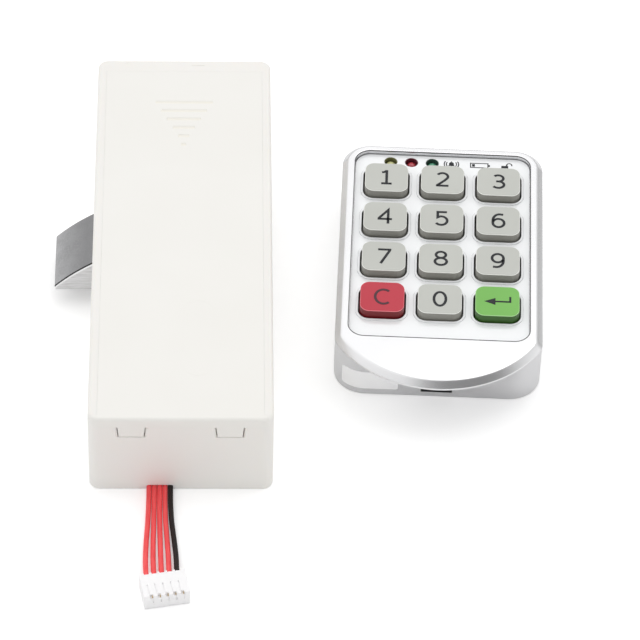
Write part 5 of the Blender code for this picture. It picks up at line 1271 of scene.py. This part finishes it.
def bell_sign():
    """A small ringing bell: its body, its clapper, its knob and two waves to each side."""
    body = patch([(-0.95, -0.6), (-0.7, -0.3), *arc((0, 0.25), 0.68, 180, 0, 12), (0.7, -0.3), (0.95, -0.6)])
    waves = [ribbon(arc((0, 0.1), reach, side - 34, side + 34, 8), SIGN_LINE)
             for reach in (1.4, 2.0) for side in (0, 180)]
    return merged(body, patch(circle(0.24, 16, (0, -0.88))), patch(circle(0.16, 12, (0, 1.08))), *waves)


def cell_sign():
    """A small battery with one bar left."""
    case = ribbon([(-2.5, -0.85), (2.3, -0.85), (2.3, 0.85), (-2.5, 0.85)], SIGN_LINE, True)
    return merged(case, patch([(2.46, -0.36), (2.86, -0.36), (2.86, 0.36), (2.46, 0.36)]),
                  patch([(-2.1, -0.5), (-1.3, -0.5), (-1.3, 0.5), (-2.1, 0.5)]))


def open_lock_sign():
    """A small padlock with its shackle open."""
    shackle = ribbon([(0.1, 0.2), (0.1, 0.55), *arc((0.8, 0.55), 0.7, 180, 0, 12), (1.5, 0.3)], SIGN_LINE)
    return merged(patch([(-1.4, -0.95), (0.5, -0.95), (0.5, 0.25), (-1.4, 0.25)]), shackle)


def make_signs():
    """The printed signs of alarm, low battery and open, beside the lamps."""
    bell_x, cell_x, lock_x = 2.4, 10.2, 17.6
    signs = [placed(shape, x, SIGN_Y, PLATE_TOP)
             for shape, x in ((bell_sign(), bell_x), (cell_sign(), cell_x), (open_lock_sign(), lock_x))]
    pad_piece("lamp_signs", merged(*signs), INK)


def skirt_point(x, z, proud):
    """The skirt's surface at x and z: upright at first, then the cove under the lip."""
    rise = max(0.0, (z - COVE_START) / (LIP_LOW - COVE_START))
    return (x, near_edge(x, 1 - math.sqrt(1 - rise * rise), -proud), z)


def make_film():
    """The bare label film on the skirt's left, its corners broken."""
    rows, columns, corner, sunk = 16, 40, 0.5, 0.1
    rings = []
    for row in range(rows + 1):
        z = FILM_LOW + (FILM_HIGH - FILM_LOW) * row / rows
        inset = corner if row in (0, rows) else 0.0
        left, right = FILM_LEFT + inset, FILM_RIGHT - inset
        xs = [left + (right - left) * i / columns for i in range(columns + 1)]
        outside = [skirt_point(x, z, FILM_THICK) for x in xs]
        rings.append(outside + [skirt_point(x, z, -sunk) for x in reversed(xs)])
    pad_piece("label_film", loft(rings), FILM)


def make_lamps():
    """Three lamps of tinted epoxy, each domed, on their flanges."""
    flange, radius, low, flange_top, top = 1.9, 1.5, 8.05, 8.45, 15.2
    dome = [(radius * math.cos(math.radians(a)), top - radius + radius * math.sin(math.radians(a)))
            for a in (0, 15, 30, 45, 60, 74, 86)]
    profile = [(flange, low), (flange, flange_top), (radius, flange_top), *dome]
    for (name, material), x in zip(LAMP_LOOKS.items(), LED_PLACES):
        lamp = turned(profile, 40, "Z", (x, LED_Y, 0))
        pad_piece(f"lamp_{name}", lamp, material, [f"led_{name}"])


make_keypad_shell()
make_face_sheet()
make_sleeves()
make_painted_gap_shade()
make_key_mat()
make_keys()
make_signs()
make_film()
make_lamps()
screws("keypad_cover_screws", PAD_SCREW_HEAD, SCREW_POSTS, PAD_SCREW_TURNS,
       ["keypad_screw_1", "keypad_screw_2"], PAD_FRAME)


# Floor and light
def make_floor():
    """A plain pale floor that keeps the shadows and is white where nothing shades it."""
    size, below, fall_start, fall_end = 3.0, 0.00002, 0.18, 0.60
    finish = Finish("pale_floor", (0.92, 0.92, 0.92), 0.9, specular_ior_level=0.1,
                    emission_color=(1, 1, 1, 1))
    reach = finish.node("ShaderNodeVectorMath", operation="LENGTH")
    finish.feed(reach.inputs[0], finish.place)
    path = finish.node("ShaderNodeLightPath").outputs
    # Painted shade: seen in reflections, the floor is painted darker further from the middle.
    far = finish.span(reach.outputs["Value"], 0.0, FAR_FLOOR_FALL, fall_start, fall_end)
    finish.tint(finish.maths("MULTIPLY", path["Is Glossy Ray"], far), (0.0, 0.0, 0.0))
    behind = finish.maths("MAXIMUM", path["Is Camera Ray"], path["Is Transmission Ray"])
    finish.feed(finish.shader.inputs["Emission Strength"], finish.maths("MULTIPLY", behind, FLOOR_LIFT))
    shape = bmesh.new()
    bmesh.ops.create_grid(shape, x_segments=1, y_segments=1, size=size)
    floor = helper(shape, "floor")
    floor.data.materials.append(finish.material)
    floor.location = (0, 0, -below)


def make_room():
    """A pale room: brighter towards its window at the far side, dimmer at the horizon and near the viewer."""
    world = bpy.data.worlds.new("pale_room")
    SCENE.world = world
    world.use_nodes = True
    room = Wiring(world.node_tree)
    direction = room.node("ShaderNodeTexCoord").outputs["Generated"]

    def along(vector):
        dot = room.node("ShaderNodeVectorMath", operation="DOT_PRODUCT")
        room.feed(dot.inputs[0], direction)
        dot.inputs[1].default_value = vector
        return dot.outputs["Value"]

    def soft(vector, start, end, low, high):
        return room.span(along(vector), low, high, start, end, "SMOOTHSTEP")

    side = room.span(along(BRIGHT_SIDE), LEVEL - SLOPE, LEVEL + SLOPE, -1.0, 1.0)
    dimmed = room.maths("MULTIPLY", side, soft(UPWARDS, 0.0, 0.45, HORIZON_SHARE, 1.0))
    spotted = room.maths("MULTIPLY", dimmed, soft(DARK_SPOT, 0.70, 0.97, 1.0, DARK_SHARE))
    front = room.maths("MULTIPLY", soft(FRONT_SIDE, 0.0, 0.9, 0.0, FRONT_LIGHT),
                       soft(UPWARDS, 0.25, 0.45, 1.0, 0.0))
    shade = room.tree.nodes["Background"]
    shade.inputs["Color"].default_value = (1, 1, 1, 1)
    room.feed(shade.inputs["Strength"], room.maths("ADD", spotted, front))


def make_lamp():
    """One large soft lamp high above the far side, for faint soft shadows."""
    lamp = bpy.data.lights.new("soft_lamp", "AREA")
    lamp.shape, lamp.size, lamp.energy = "DISK", LAMP_SIZE, LAMP_ENERGY
    holder = bpy.data.objects.new("soft_lamp", lamp)
    holder.location = LAMP_SPOT
    holder.rotation_euler = (LAMP_SPOT - LAMP_AIM).to_track_quat("Z", "Y").to_euler()
    SCENE.collection.objects.link(holder)


make_floor()
make_room()
make_lamp()
SCENE.view_settings.view_transform = "Standard"
